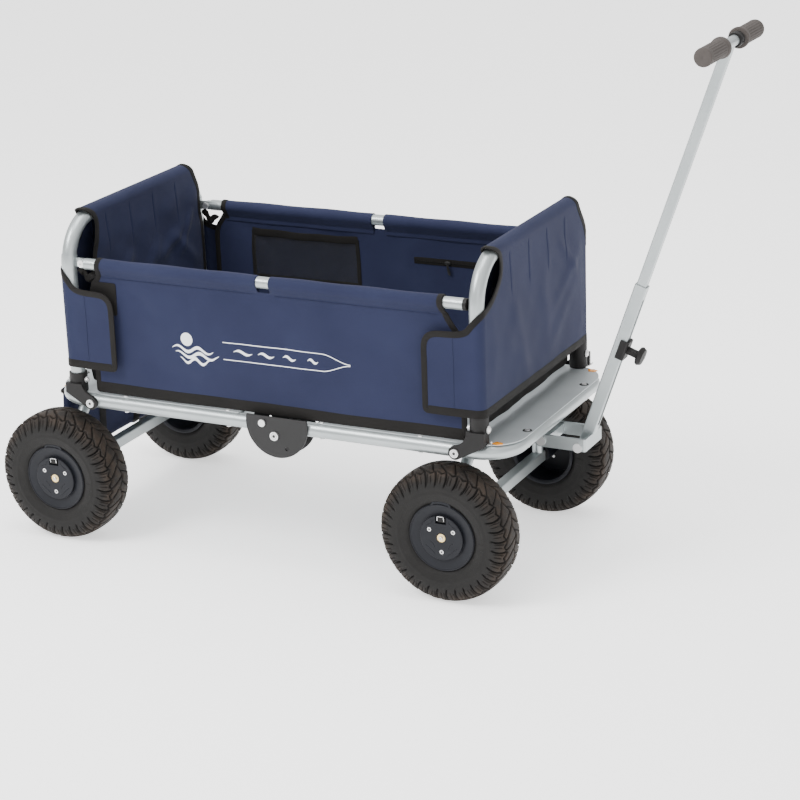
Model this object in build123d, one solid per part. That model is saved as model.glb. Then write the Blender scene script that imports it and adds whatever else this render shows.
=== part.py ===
"""Folding beach cart: a two-part folding deck on four wheels, with tube bows,
fabric sides and a telescopic steering drawbar.

Frame while modelling: X runs from the back (-) to the drawbar (+) with x = 0 at the
mid-fold hinge, Y runs to the cart's left, Z is up from the ground. Every node is
shifted along X at export, so that the origin is the centre of the footprint.
Units are millimetres.
"""
from build123d import *
import math
import os

# ---------------------------------------------------------------- wheels
TYRE_R = 130.0
TYRE_W = 85.0
# (out from the bead seat, in from the widest point), then (in from the tread, in from the widest point)
BEAD_PROFILE = ((0, 8.5), (7, 4), (18, 0.8), (32, 0))
SHOULDER_PROFILE = ((20, 2), (9, 7), (3, 13), (0, 21))
BEAD_R = 65.0
FIT = 0.05
SEAT_GAP = 0.1
CUT_OVER = 1.0
WHEEL_Y = 235.0
REAR_AXLE_X = -490.0
FRONT_AXLE_X = 348.0
AXLE_PIN_R = 8.0
AXLE_PIN_DEPTH = 45.0
HUB_R = 16.0
HUB_INNER = 40.0
RIM_HALF_W = 38.0
RIM_WALL = 7.0
RIM_LIP = 3.0
RIM_CHAMFER = 2.0
WEB_BACK = 24.0
WEB_FACE = 33.0
CAP_R = 43.0
CAP_FACE = 39.0
CAP_EDGE_R = 1.5
HUB_SCREW_R = 2.5
HUB_SCREW_HEAD_R = 4.0
HUB_SCREW_CIRCLE_R = 27.5
HUB_SCREW_TURNS = (30, 150, 270)
HUB_SCREW_SINK = 2.5
HUB_SCREW_BELOW = 0.7
HUB_SCREW_END = 3.0
LATCH_Z = 36.0
LATCH_W = 15.0
LATCH_H = 10.0
LATCH_T = 5.0
LATCH_TRAVEL = 3.0
LATCH_POCKET_W = 21.0
LATCH_GAP = 0.5
LATCH_LIFT = 0.3
LATCH_EDGE_R = 1.2
PIN_SHY = 0.5

# ---------------------------------------------------------------- deck
RAIL_Y = 235.0
RAIL_Z = 291.0
RAIL_R = 14.0
TUBE_WALL = 2.0
DECK_REAR_X = -492.0
DECK_FRONT_X = 463.0
DECK_CORNER_R = 65.0
BUTT_GAP = 0.5
CROSS_W = 25.0
CROSS_H = 20.0
CROSS_FROM_FOLD = 95.0
CROSS_FROM_END = 116.0
CROSS_FROM_AXLE = 45.0
CROSS_BURY = 5.0
PLATE_T = 1.5
PLATE_SIDE_OVER = 4.0
PLATE_END_OVER = 12.0
PLATE_SEAM = 1.0
RIVET_R = 2.4
RIVET_HEAD_R = 4.5
RIVET_HEAD_H = 1.8
REAR_RIVET_X = (-335.0, -108.0)
FRONT_RIVET_X = (92.0, 294.0)
END_RIVET_Y = 138.0

# ---------------------------------------------------------------- mid-fold hinge
PIVOT_Z = 275.0
CHEEK_R = 65.0
CHEEK_X = 5.0
CHEEK_Z = 297.0
CHEEK_TOP_Z = 312.0
CHEEK_T = 3.0
CHEEK_GAP = 0.4
LUG_R = 11.0
LUG_LENGTH = 34.0
LUG_WEB_INSET = 6.0
CHEEK_CLEAR = 3.0
FOLD_BOLT_R = 5.0
FOLD_BOLT_HEAD_R = 8.5
HEAD_H = 3.5
NUT_H = 6.0
LOCK_X = -25.0
LOCK_Z = 298.0
LOCK_PIN_R = 4.0
LOCK_HEAD_R = 7.0
LOCK_DEPTH = 5.0
LOCK_LIFT = 0.3
LOCK_ROOM = 0.5
LOCK_LEAD = 12.0
LOCK_MID = 30.0
FOLD_SWEEP = 95.0
SPACER_X = 15.0
SPACER_L = 42.0

# ---------------------------------------------------------------- bows
REAR_POST_X = -441.0
FRONT_POST_X = 412.0
BOW_TOP_Z = 643.0
BOW_R = 14.0
BOW_BEND_R = 85.0
POST_ABOVE_DECK = 5.45
REAR_EYE_X = -404.0
FRONT_EYE_X = 371.0
EYE_R = 13.0
SLEEVE_WALL = 3.5
SLEEVE_ABOVE_DECK = 1.45
FRONT_SLEEVE_TOP_Z = 360.0
REAR_SLEEVE_TOP_Z = 346.0
BRACKET_T = 6.0
BRACKET_SCOOP_R = 30.0
BOW_BOLT_R = 5.0
BOW_BOLT_HEAD_R = 8.0

# ---------------------------------------------------------------- side rails
TOP_RAIL_Y = 236.0
TOP_RAIL_Z = 566.0
TOP_RAIL_R = 11.0
TOP_RAIL_WALL = 1.5
TOP_RAIL_FROM_REAR_POST = 25.0
TOP_RAIL_FROM_FRONT_POST = 9.0
RAIL_PLUG_FACE = 7.0
RAIL_PLUG_STEM = 14.0
TONGUE_T = 5.0
TONGUE_H = 17.0
TONGUE_EYE_FROM_POST = 16.0
TONGUE_ROOT = 4.0
CLAMP_RING_WALL = 5.0
CLAMP_RING_H = 28.0
CLAMP_BACK = 8.0
RAIL_BOLT_R = 3.9
RAIL_BOLT_HEAD_R = 7.0

# ---------------------------------------------------------------- axle frames
AXLE_Z = TYRE_R
ARCH_Y = 176.0
ARCH_Z = 251.0
ARCH_R = 11.0
ARCH_BEND_R = 60.0
AXLE_BAR = 22.0
AXLE_BAR_HALF_L = 188.0
AXLE_BAR_EDGE_R = 3.0
PAD_Y = 110.0
PAD_L = 40.0
PAD_BURY = 4.0
KINGPIN_R = 8.0
KINGPIN_LAND = 5.0
KINGPIN_END = 3.0
TURN_R = 45.0
TURN_PLATE_T = 5.0
TURN_GAP = 0.4
TURN_PLATE_LENGTH = 116.0
TURN_PLATE_W = 100.0
TURN_PLATE_Z = 275.0
TONGUE_END_X = 462.0
TONGUE_HALF_H = 9.0
TONGUE_WALL_Y = 4.0
TONGUE_WALL_Z = 3.0
TONGUE_NOSE = 22.0

# ---------------------------------------------------------------- drawbar
YOKE_PIVOT_X = 449.0
YOKE_PIVOT_Z = 252.0
YOKE_HALF_W = 42.0
YOKE_FRONT_X = 537.0
YOKE_H = 24.0
YOKE_T = 5.0
YOKE_BOLT_R = 5.0
YOKE_REAR_END = 13.0
YOKE_BEND_R = 4.0
YOKE_BOLT_LAND = 4.0
YOKE_BOLT_GAP = 0.3
FOOT_SPACER_WALL = 3.0
BAR_FOOT_X = 522.0
BAR_FOOT_Z = 247.0
BAR_LEAN = 19.58
OUTER_DEPTH = 23.0
OUTER_WIDTH = 20.0
DRAWBAR_WALL = 2.0
OUTER_EDGE_R = 2.0
INNER_EDGE_R = 1.5
OUTER_TOP = 332.0
OUTER_BOTTOM = -6.0
SLIDE_GAP = 0.3
SLOT_W = 9.0
SLOT_BOTTOM = 40.0
SLOT_TOP = 306.0
CLAMP_AT = 203.0
HANDLE_AT = 805.0
INNER_BOTTOM = 160.0
SADDLE_L = 36.0
SADDLE_T = 4.5
SADDLE_EDGE_R = 4.0
KNOB_R = 18.0
KNOB_T = 13.0
KNOB_NECK_R = 7.5
KNOB_NECK_L = 18.0
KNOB_STEM_R = 4.0
KNOB_STEM_IN = 6.0
KNOB_SHOULDER = 2.0
KNOB_SKIRT = 3.0
CROSSBAR_R = 9.5
CROSSBAR_HALF_L = 138.0
GRIP_R = 16.5
GRIP_FLANGE_R = 19.0
GRIP_FLANGE_L = 9.0
GRIP_L = 95.0
GRIP_END_T = 3.0

# ---------------------------------------------------------------- fabric
PANEL_T = 3.0
PANEL_FROM_REAR_POST = 29.0
PANEL_FROM_FRONT_POST = 10.0
PANEL_ABOVE_DECK = 4.45
PANEL_CORNER = 40.0
HEM_REAR_X = -374.0
HEM_FRONT_X = 346.0
HEM_WALL = 1.2
FABRIC_GAP = 0.3
NOTCH_REAR_X = -27.0
NOTCH_FRONT_X = 0.0
NOTCH_DEPTH = 14.0
SHEET_T = 2.4
SHEET_GAP = 0.6
END_PANEL_FOOT_Z = 361.0
END_PANEL_SLEEVE_Y = 150.0
INNER_SHEET_Y = 205.0
INNER_SHEET_FOOT_Z = 330.0
FLAP_TOP_Z = 515.0
FLAP_L = 118.0
SCALLOP_Y = 190.0
# (in from the flap's face, up from its top) where the front edge steps in above each flap
SCALLOP_STEP = (8.0, 35.0)
SCALLOP_MID_Y = 210.0
SCALLOP_MID_DROP = 63.0
SCALLOP_TOP_DROP = 20.0
BAG_DEPTH = 37.0
BAG_HALF_W = 171.0
BAG_FOOT_Z = 128.0
BAG_GAP = 1.0
BAG_EDGE_R = 8.0

# ---------------------------------------------------------------- shared places
HANDLE_X = BAR_FOOT_X + HANDLE_AT * math.sin(math.radians(BAR_LEAN))
REAR_END_X = REAR_AXLE_X - TYRE_R
FRONT_END_X = HANDLE_X + GRIP_FLANGE_R
ORIGIN_X = (REAR_END_X + FRONT_END_X) / 2
RAIL_OUT_Y = RAIL_Y + RAIL_R
RAIL_IN_Y = RAIL_Y - RAIL_R
DECK_TOP_Z = RAIL_Z + RAIL_R + FIT + PLATE_T
POST_FOOT_Z = DECK_TOP_Z + POST_ABOVE_DECK
SLEEVE_FOOT_Z = DECK_TOP_Z + SLEEVE_ABOVE_DECK
PANEL_FOOT_Z = DECK_TOP_Z + PANEL_ABOVE_DECK
REAR_POST_FACE_X = REAR_POST_X + BOW_R
FRONT_POST_FACE_X = FRONT_POST_X - BOW_R
TOP_RAIL_REAR_X = REAR_POST_FACE_X + TOP_RAIL_FROM_REAR_POST
TOP_RAIL_FRONT_X = FRONT_POST_FACE_X - TOP_RAIL_FROM_FRONT_POST
TONGUE_EYE_X = REAR_POST_FACE_X + TONGUE_EYE_FROM_POST
PANEL_REAR_X = REAR_POST_FACE_X + PANEL_FROM_REAR_POST
PANEL_FRONT_X = FRONT_POST_FACE_X - PANEL_FROM_FRONT_POST
CHEEK_OUT_Y = RAIL_OUT_Y + CHEEK_GAP
CHEEK_IN_Y = RAIL_IN_Y - CHEEK_GAP
BRACKET_Y = RAIL_OUT_Y + CHEEK_GAP
FLAP_Y = RAIL_Y + BOW_R + SHEET_GAP
CHEEK_SWEEP_R = math.hypot(CHEEK_X + CHEEK_R, CHEEK_TOP_Z - PIVOT_Z)
SIDES = {"left": 1, "right": -1}
DRAWBAR = Pos(BAR_FOOT_X, 0, BAR_FOOT_Z) * Rot(0, BAR_LEAN, 0)


def span_box(x0, x1, y0, y1, z0, z1):
    """A box between two corners."""
    low = (min(x0, x1), min(y0, y1), min(z0, z1))
    return Pos(*low) * Box(abs(x1 - x0), abs(y1 - y0), abs(z1 - z0),
                           align=(Align.MIN, Align.MIN, Align.MIN))


def rod_y(x, z, y0, y1, radius):
    """A solid cylinder along Y between two Y values."""
    return Pos(x, (y0 + y1) / 2, z) * Rot(90, 0, 0) * Cylinder(radius, abs(y1 - y0))


def rod_z(x, y, z0, z1, radius):
    """A solid cylinder along Z between two Z values."""
    return Pos(x, y, (z0 + z1) / 2) * Cylinder(radius, abs(z1 - z0))


def rod_x(y, z, x0, x1, radius):
    """A solid cylinder along X between two X values."""
    return Pos((x0 + x1) / 2, y, z) * Rot(0, 90, 0) * Cylinder(radius, abs(x1 - x0))


def swept_rod(points, bend_r, radius):
    """A solid round rod along straight runs joined by tangent arcs."""
    path = FilletPolyline(*points, radius=bend_r)
    return sweep(Plane(path @ 0, z_dir=path % 0) * Circle(radius), path=path)


def swept_tube(points, bend_r, radius, wall):
    """A round tube along straight runs joined by tangent arcs."""
    return swept_rod(points, bend_r, radius) - swept_rod(points, bend_r, radius - wall)


def plate_xz(outline, y0, y1):
    """An outline drawn in X and Z, made solid between two Y values."""
    low = min(y0, y1)
    return extrude(Plane((0, low, 0), x_dir=(1, 0, 0), z_dir=(0, -1, 0)) * outline,
                   amount=-abs(y1 - y0))


def group(shapes):
    """Several separate solids that share one node."""
    return Compound([solid for shape in shapes for solid in shape.solids()])


# ---------------------------------------------------------------- wheels
def revolve_about_y(points):
    """A ring from (radius, y) corners, turned about the Y axis."""
    face = make_face(Polyline(*[(r, y, 0) for r, y in points], close=True))
    return revolve(face, axis=Axis.Y)


def tyre():
    """A balloon tyre with rounded shoulders, seated on the rim."""
    half = TYRE_W / 2
    seat = BEAD_R + SEAT_GAP
    side = [(seat + out, half - inset) for out, inset in BEAD_PROFILE]
    side += [(TYRE_R - drop, half - inset) for drop, inset in SHOULDER_PROFILE]
    mirrored = [(r, -y) for r, y in reversed(side)]
    return revolve_about_y(side + mirrored)


def hub_screw_places():
    """The three cover screws: two above the axle and one below it."""
    return [(HUB_SCREW_CIRCLE_R * math.cos(math.radians(turn)),
             HUB_SCREW_CIRCLE_R * math.sin(math.radians(turn))) for turn in HUB_SCREW_TURNS]


def rim():
    """The moulded rim: bead barrel, dished web and a hub bored for the axle pin."""
    bore = AXLE_PIN_R + FIT
    barrel = BEAD_R - RIM_WALL
    body = revolve_about_y([
        (bore, -HUB_INNER), (HUB_R, -HUB_INNER), (HUB_R, WEB_BACK), (barrel, WEB_BACK),
        (barrel, RIM_CHAMFER - RIM_HALF_W), (BEAD_R - RIM_LIP, -RIM_HALF_W), (BEAD_R, -RIM_HALF_W),
        (BEAD_R, RIM_HALF_W - RIM_CHAMFER), (BEAD_R - RIM_LIP, RIM_HALF_W - RIM_CHAMFER / 2),
        (CAP_R + CUT_OVER, WEB_FACE),
        (bore, WEB_FACE)])
    for x, z in hub_screw_places():
        body -= rod_y(x, z, WEB_BACK - CUT_OVER, WEB_FACE + CUT_OVER, HUB_SCREW_R + FIT)
    return body


def hub_cap():
    """The hub cover: axle hole, sunk screw holes and the pocket of the wheel release."""
    cap = rod_y(0, 0, WEB_FACE + FIT, CAP_FACE, CAP_R)
    cap = fillet(cap.faces().sort_by(Axis.Y)[-1].edges(), CAP_EDGE_R)
    cap -= rod_y(0, 0, WEB_FACE - CUT_OVER, CAP_FACE + CUT_OVER, AXLE_PIN_R + CUT_OVER)
    for x, z in hub_screw_places():
        cap -= rod_y(x, z, WEB_FACE - CUT_OVER, CAP_FACE + CUT_OVER, HUB_SCREW_R + FIT)
        cap -= rod_y(x, z, CAP_FACE - HUB_SCREW_SINK, CAP_FACE + CUT_OVER, HUB_SCREW_HEAD_R + CUT_OVER)
    half = LATCH_H / 2
    low = LATCH_Z - half - LATCH_TRAVEL - LATCH_GAP
    return cap - span_box(-LATCH_POCKET_W / 2, LATCH_POCKET_W / 2, WEB_FACE - CUT_OVER,
                          CAP_FACE + CUT_OVER, low, LATCH_Z + half + LATCH_GAP)


def hub_screws():
    """Three cover screws, heads sunk in the cover."""
    screws = []
    for x, z in hub_screw_places():
        head = rod_y(x, z, CAP_FACE - HUB_SCREW_SINK, CAP_FACE - HUB_SCREW_BELOW, HUB_SCREW_HEAD_R)
        screws.append(head + rod_y(x, z, WEB_BACK - HUB_SCREW_END, CAP_FACE - HUB_SCREW_SINK, HUB_SCREW_R))
    return group(screws)


def wheel_latch():
    """The sliding tab that frees the wheel from its axle pin."""
    half = LATCH_H / 2
    tab = span_box(-LATCH_W / 2, LATCH_W / 2, WEB_FACE + LATCH_LIFT,
                   WEB_FACE + LATCH_LIFT + LATCH_T, LATCH_Z - half, LATCH_Z + half)
    return fillet(tab.edges().filter_by(Axis.Y), LATCH_EDGE_R)


def add_wheel(nodes, name, x, side):
    """The five nodes of one wheel, its outer face turned to the cart's outside."""
    turn = 0 if side > 0 else 180
    place = Pos(x, side * WHEEL_Y, AXLE_Z) * Rot(0, 0, turn)
    nodes["tyre_" + name] = place * tyre()
    nodes["rim_" + name] = place * rim()
    nodes["hub_cap_" + name] = place * hub_cap()
    nodes["hub_screws_" + name] = place * hub_screws()
    nodes["wheel_latch_" + name] = place * wheel_latch()


def axle_pins(x):
    """The two brass pins that carry the wheels of one axle."""
    outer = WHEEL_Y + CAP_FACE - PIN_SHY
    inner = AXLE_BAR_HALF_L - AXLE_PIN_DEPTH
    pins = []
    for side in SIDES.values():
        pins.append(rod_y(x, AXLE_Z, side * inner, side * outer, AXLE_PIN_R))
    return group(pins)


# ---------------------------------------------------------------- deck
def rivet_places(end_x, xs):
    """Rivet centres along both rails and along the end tube."""
    rails = [(x, side * RAIL_Y) for x in xs for side in SIDES.values()]
    ends = [(end_x, side * END_RIVET_Y) for side in SIDES.values()]
    return rails + ends


def rivets(end_x, xs):
    """Through rivets that hold the deck plate on its tube."""
    low = RAIL_Z - RAIL_R
    made = []
    for x, y in rivet_places(end_x, xs):
        shank = rod_z(x, y, low - FIT, DECK_TOP_Z + FIT, RIVET_R)
        top = rod_z(x, y, DECK_TOP_Z + FIT, DECK_TOP_Z + RIVET_HEAD_H, RIVET_HEAD_R)
        foot = rod_z(x, y, low - RIVET_HEAD_H, low - FIT, RIVET_HEAD_R)
        made.append(shank + top + foot)
    return group(made)


def deck_tube(end_x, eye_x, cross_xs):
    """A U-shaped rail tube with welded cross members, open at the fold."""
    start = math.copysign(BUTT_GAP / 2, end_x)
    points = [(start, -RAIL_Y, RAIL_Z), (end_x, -RAIL_Y, RAIL_Z),
              (end_x, RAIL_Y, RAIL_Z), (start, RAIL_Y, RAIL_Z)]
    frame = swept_tube(points, DECK_CORNER_R, RAIL_R, TUBE_WALL)
    reach = RAIL_IN_Y + CROSS_BURY
    for x in cross_xs:
        bar = Pos(x, 0, RAIL_Z) * Box(CROSS_W, 2 * reach, CROSS_H)
        bar -= Pos(x, 0, RAIL_Z) * Box(CROSS_W - 2 * TUBE_WALL, 2 * reach, CROSS_H - 2 * TUBE_WALL)
        frame += bar
    for side in SIDES.values():
        frame -= rod_y(eye_x, RAIL_Z, side * (RAIL_IN_Y - CUT_OVER),
                       side * (RAIL_OUT_Y + CUT_OVER), BOW_BOLT_R + FIT)
    return frame


def drill_rivets(shape, end_x, xs):
    """Rivet holes through the tube and the plate."""
    for x, y in rivet_places(end_x, xs):
        shape -= rod_z(x, y, RAIL_Z - RAIL_R - CUT_OVER, DECK_TOP_Z + CUT_OVER, RIVET_R + FIT)
    return shape


def rear_deck_frame():
    """The rear deck frame with the hinge lugs and the reliefs of the lock pins."""
    cross = (-CROSS_FROM_FOLD, DECK_REAR_X + CROSS_FROM_END)
    frame = deck_tube(DECK_REAR_X, REAR_EYE_X, cross)
    for side in SIDES.values():
        inner = side * (CHEEK_IN_Y + CHEEK_GAP)
        outer = side * (CHEEK_OUT_Y - CHEEK_GAP)
        boss = rod_y(0, PIVOT_Z, inner, outer, LUG_R)
        web = span_box(-LUG_LENGTH, 0, inner + side * LUG_WEB_INSET, outer - side * LUG_WEB_INSET,
                       PIVOT_Z - LUG_R, RAIL_Z - RAIL_R + TUBE_WALL)
        frame += boss + web
        frame -= rod_y(0, PIVOT_Z, inner - side * CUT_OVER, outer + side * CUT_OVER, FOLD_BOLT_R + FIT)
        frame -= lock_pin_path(side)
    return drill_rivets(frame, DECK_REAR_X, REAR_RIVET_X)


def lock_pin_path(side):
    """The room that a lock pin's tip sweeps as the deck folds."""
    radius = math.hypot(LOCK_X, LOCK_Z - PIVOT_Z)
    room = LOCK_PIN_R + LOCK_ROOM
    ring = Circle(radius + room) - Circle(radius - room)
    start = math.degrees(math.atan2(LOCK_Z - PIVOT_Z, LOCK_X))
    wedge = Polyline((0, 0), _ray(start + LOCK_LEAD), _ray(start - LOCK_MID),
                     _ray(start - FOLD_SWEEP), close=True)
    path = ring & make_face(wedge)
    y0 = side * (CHEEK_OUT_Y - LOCK_DEPTH - CUT_OVER)
    return plate_xz(Pos(0, PIVOT_Z) * path, y0, side * (CHEEK_OUT_Y + CUT_OVER))


def _ray(degrees):
    """A far point from the hinge pivot, in X and Z."""
    reach = 3 * CHEEK_R
    return (reach * math.cos(math.radians(degrees)), reach * math.sin(math.radians(degrees)))


def front_deck_frame():
    """The front deck frame, with the blocks that carry the hinge cheeks."""
    cross = (CROSS_FROM_FOLD, FRONT_AXLE_X - CROSS_FROM_AXLE, FRONT_AXLE_X + CROSS_FROM_AXLE)
    frame = deck_tube(DECK_FRONT_X, FRONT_EYE_X, cross)
    for side in SIDES.values():
        frame += span_box(SPACER_X, SPACER_X + SPACER_L, side * CHEEK_IN_Y, side * CHEEK_OUT_Y,
                          RAIL_Z - CROSS_H / 2, RAIL_Z + CROSS_H / 2)
        frame -= rod_y(0, PIVOT_Z, side * CHEEK_IN_Y, side * CHEEK_OUT_Y, LUG_R + CUT_OVER)
    return drill_rivets(frame, DECK_FRONT_X, FRONT_RIVET_X)


def deck_plate(end_x, xs):
    """The deck sheet of one half, notched round the swinging hinge cheeks."""
    sign = math.copysign(1, end_x)
    edge = abs(end_x) + PLATE_END_OVER
    half = RAIL_Y + PLATE_SIDE_OVER
    corner = DECK_CORNER_R + PLATE_SIDE_OVER
    sheet = Pos(edge / 2 + PLATE_SEAM / 2, 0) * Rectangle(edge - PLATE_SEAM, 2 * half)
    sheet = fillet(sheet.vertices().sort_by(Axis.X)[-2:], corner)
    for side in SIDES.values():
        depth = half - CHEEK_IN_Y + CHEEK_T + CHEEK_CLEAR
        notch_l = CHEEK_SWEEP_R + CUT_OVER + CHEEK_CLEAR
        centre_y = side * (half - depth / 2 + CUT_OVER)
        sheet -= Pos(notch_l / 2, centre_y) * Rectangle(notch_l, depth + 2 * CUT_OVER)
    plate = extrude(Pos(0, 0, DECK_TOP_Z - PLATE_T) * sheet, amount=PLATE_T)
    plate = drill_rivets(plate, abs(end_x), [abs(x) for x in xs])
    return plate if sign > 0 else Rot(0, 0, 180) * plate


# ---------------------------------------------------------------- mid-fold hinge
def fold_cheeks():
    """The half-moon hinge cheeks, one on each side of each rail."""
    moon = Pos(CHEEK_X, CHEEK_Z) * Circle(CHEEK_R)
    top_cut = Pos(CHEEK_X, CHEEK_TOP_Z + CHEEK_R) * Rectangle(3 * CHEEK_R, 2 * CHEEK_R)
    moon -= top_cut
    moon -= Pos(0, PIVOT_Z) * Circle(FOLD_BOLT_R + FIT)
    moon -= Pos(LOCK_X, LOCK_Z) * Circle(LOCK_PIN_R + FIT)
    moon -= Pos(-LOCK_X, 2 * PIVOT_Z - LOCK_Z) * Circle(LOCK_PIN_R + FIT)
    made = []
    for side in SIDES.values():
        made.append(plate_xz(moon, side * CHEEK_OUT_Y, side * (CHEEK_OUT_Y + CHEEK_T)))
        made.append(plate_xz(moon, side * CHEEK_IN_Y, side * (CHEEK_IN_Y - CHEEK_T)))
    return group(made)


def bolt_y(x, z, side, y_head, y_nut, radius, head_r):
    """A button-head bolt along Y with its nut, head outward."""
    shank = rod_y(x, z, side * (y_nut - NUT_H), side * y_head, radius)
    head = rod_y(x, z, side * y_head, side * (y_head + HEAD_H), head_r)
    socket = rod_y(x, z, side * (y_head + HEAD_H / 2), side * (y_head + HEAD_H + CUT_OVER), radius / 2)
    nut = plate_xz(Pos(x, z) * RegularPolygon(head_r, 6), side * (y_nut - NUT_H), side * y_nut)
    return shank + head + nut - socket


def fold_bolts():
    """The two pivot bolts of the mid-fold hinge."""
    y_head = CHEEK_OUT_Y + CHEEK_T
    y_nut = CHEEK_IN_Y - CHEEK_T
    return group([bolt_y(0, PIVOT_Z, side, y_head, y_nut, FOLD_BOLT_R, FOLD_BOLT_HEAD_R)
                  for side in SIDES.values()])


def lock_pin(side):
    """The sprung plunger that locks the open deck."""
    outer = CHEEK_OUT_Y + CHEEK_T + LOCK_LIFT
    shank = rod_y(LOCK_X, LOCK_Z, side * (CHEEK_OUT_Y - LOCK_DEPTH), side * outer, LOCK_PIN_R)
    head = rod_y(LOCK_X, LOCK_Z, side * outer, side * (outer + HEAD_H), LOCK_HEAD_R)
    return shank + head


# ---------------------------------------------------------------- bows
def bow_route(post_x):
    """The corner points of a bow: two posts and the top between them."""
    return [(post_x, -RAIL_Y, POST_FOOT_Z), (post_x, -RAIL_Y, BOW_TOP_Z),
            (post_x, RAIL_Y, BOW_TOP_Z), (post_x, RAIL_Y, POST_FOOT_Z)]


def bow(post_x):
    """One end bow: two posts joined over the top by large bends."""
    return swept_tube(bow_route(post_x), BOW_BEND_R, BOW_R, TUBE_WALL)


def bow_brackets(post_x, eye_x, sleeve_top):
    """The moulded feet of one bow: a sleeve on the post and an arm to the pivot eye."""
    sleeve_r = BOW_R + SLEEVE_WALL
    toward = math.copysign(1, eye_x - post_x)
    arm_top = (SLEEVE_FOOT_Z + sleeve_top) / 2
    mid_z = (SLEEVE_FOOT_Z + arm_top) / 2
    root = Pos(post_x, mid_z) * Rectangle(2 * sleeve_r, arm_top - SLEEVE_FOOT_Z)
    eye = Pos(eye_x, RAIL_Z) * Circle(EYE_R)
    arm = make_hull((eye + root).edges())
    scoop_x = post_x + toward * (sleeve_r + BRACKET_SCOOP_R)
    arm -= Pos(scoop_x, RAIL_Z + EYE_R + BRACKET_SCOOP_R) * Circle(BRACKET_SCOOP_R)
    arm -= Pos(eye_x, RAIL_Z) * Circle(BOW_BOLT_R + FIT)
    made = []
    for side in SIDES.values():
        cheek = plate_xz(arm, side * BRACKET_Y, side * (BRACKET_Y + BRACKET_T))
        sleeve = rod_z(post_x, side * RAIL_Y, SLEEVE_FOOT_Z, sleeve_top, sleeve_r)
        skirt_z = SLEEVE_FOOT_Z + arm_top
        skirt = Pos(post_x, side * (BRACKET_Y + CUT_OVER), skirt_z / 2) * Box(
            2 * sleeve_r, 2 * SLEEVE_WALL, arm_top - SLEEVE_FOOT_Z)
        solid = cheek + sleeve + skirt
        bore = rod_z(post_x, side * RAIL_Y, SLEEVE_FOOT_Z - CUT_OVER, sleeve_top + CUT_OVER, BOW_R + FIT)
        made.append(solid - bore)
    return group(made)


def bow_bolts(eye_x):
    """The pivot bolts of one bow."""
    return [bolt_y(eye_x, RAIL_Z, side, BRACKET_Y + BRACKET_T, RAIL_IN_Y - FIT, BOW_BOLT_R,
                   BOW_BOLT_HEAD_R) for side in SIDES.values()]


# ---------------------------------------------------------------- side rails
def side_rail(side):
    """A top rail: round tube with a flattened, drilled tongue at its rear end."""
    y = side * TOP_RAIL_Y
    tube = rod_x(y, TOP_RAIL_Z, TOP_RAIL_REAR_X, TOP_RAIL_FRONT_X, TOP_RAIL_R)
    tube -= rod_x(y, TOP_RAIL_Z, TOP_RAIL_REAR_X + TONGUE_ROOT, TOP_RAIL_FRONT_X + CUT_OVER,
                  TOP_RAIL_R - TOP_RAIL_WALL)
    tongue = span_box(TONGUE_EYE_X, TOP_RAIL_REAR_X + CUT_OVER, y - TONGUE_T / 2, y + TONGUE_T / 2,
                      TOP_RAIL_Z - TONGUE_H / 2, TOP_RAIL_Z + TONGUE_H / 2)
    tongue += rod_y(TONGUE_EYE_X, TOP_RAIL_Z, y - TONGUE_T / 2, y + TONGUE_T / 2, TONGUE_H / 2)
    rail = tube + tongue
    return rail - rod_y(TONGUE_EYE_X, TOP_RAIL_Z, y - TONGUE_T, y + TONGUE_T, RAIL_BOLT_R + FIT)


def rail_end_plugs():
    """The plastic plugs in the front ends of the top rails."""
    made = []
    for side in SIDES.values():
        y = side * TOP_RAIL_Y
        cap = rod_x(y, TOP_RAIL_Z, TOP_RAIL_FRONT_X + FIT, TOP_RAIL_FRONT_X + RAIL_PLUG_FACE, TOP_RAIL_R)
        stem = rod_x(y, TOP_RAIL_Z, TOP_RAIL_FRONT_X - RAIL_PLUG_STEM, TOP_RAIL_FRONT_X + CUT_OVER,
                     TOP_RAIL_R - TOP_RAIL_WALL - FIT)
        made.append(cap + stem)
    return group(made)


def rail_clamps():
    """The saddles on the front of the rear posts, each with a lug beside the rail's tongue."""
    made = []
    inner_face = TOP_RAIL_Y - TONGUE_T / 2 - FIT
    post = swept_rod(bow_route(REAR_POST_X), BOW_BEND_R, BOW_R + FIT)
    for side in SIDES.values():
        low = TOP_RAIL_Z - CLAMP_RING_H / 2
        high = TOP_RAIL_Z + CLAMP_RING_H / 2
        ring = rod_z(REAR_POST_X, side * RAIL_Y, low, high, BOW_R + CLAMP_RING_WALL)
        lug = span_box(REAR_POST_X, TONGUE_EYE_X + TONGUE_H / 2, side * (inner_face - TONGUE_T),
                       side * inner_face, TOP_RAIL_Z - TONGUE_H / 2, TOP_RAIL_Z + TONGUE_H / 2)
        collar = ring + lug - post
        collar -= span_box(REAR_POST_X - 2 * BOW_R, REAR_POST_X - CLAMP_BACK, side * (RAIL_Y - 2 * BOW_R),
                           side * (RAIL_Y + 2 * BOW_R), low - CUT_OVER, high + CUT_OVER)
        made.append(collar - rod_y(TONGUE_EYE_X, TOP_RAIL_Z, side * (inner_face - 2 * TONGUE_T),
                                   side * (inner_face + CUT_OVER), RAIL_BOLT_R + FIT))
    return group(made)


def rail_bolts():
    """The bolts that hold the top rails to their collars."""
    y_head = TOP_RAIL_Y + TONGUE_T / 2 + FIT
    y_nut = TOP_RAIL_Y - TONGUE_T / 2 - TONGUE_T - 2 * FIT
    return [bolt_y(TONGUE_EYE_X, TOP_RAIL_Z, side, y_head, y_nut, RAIL_BOLT_R, RAIL_BOLT_HEAD_R)
            for side in SIDES.values()]


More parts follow.
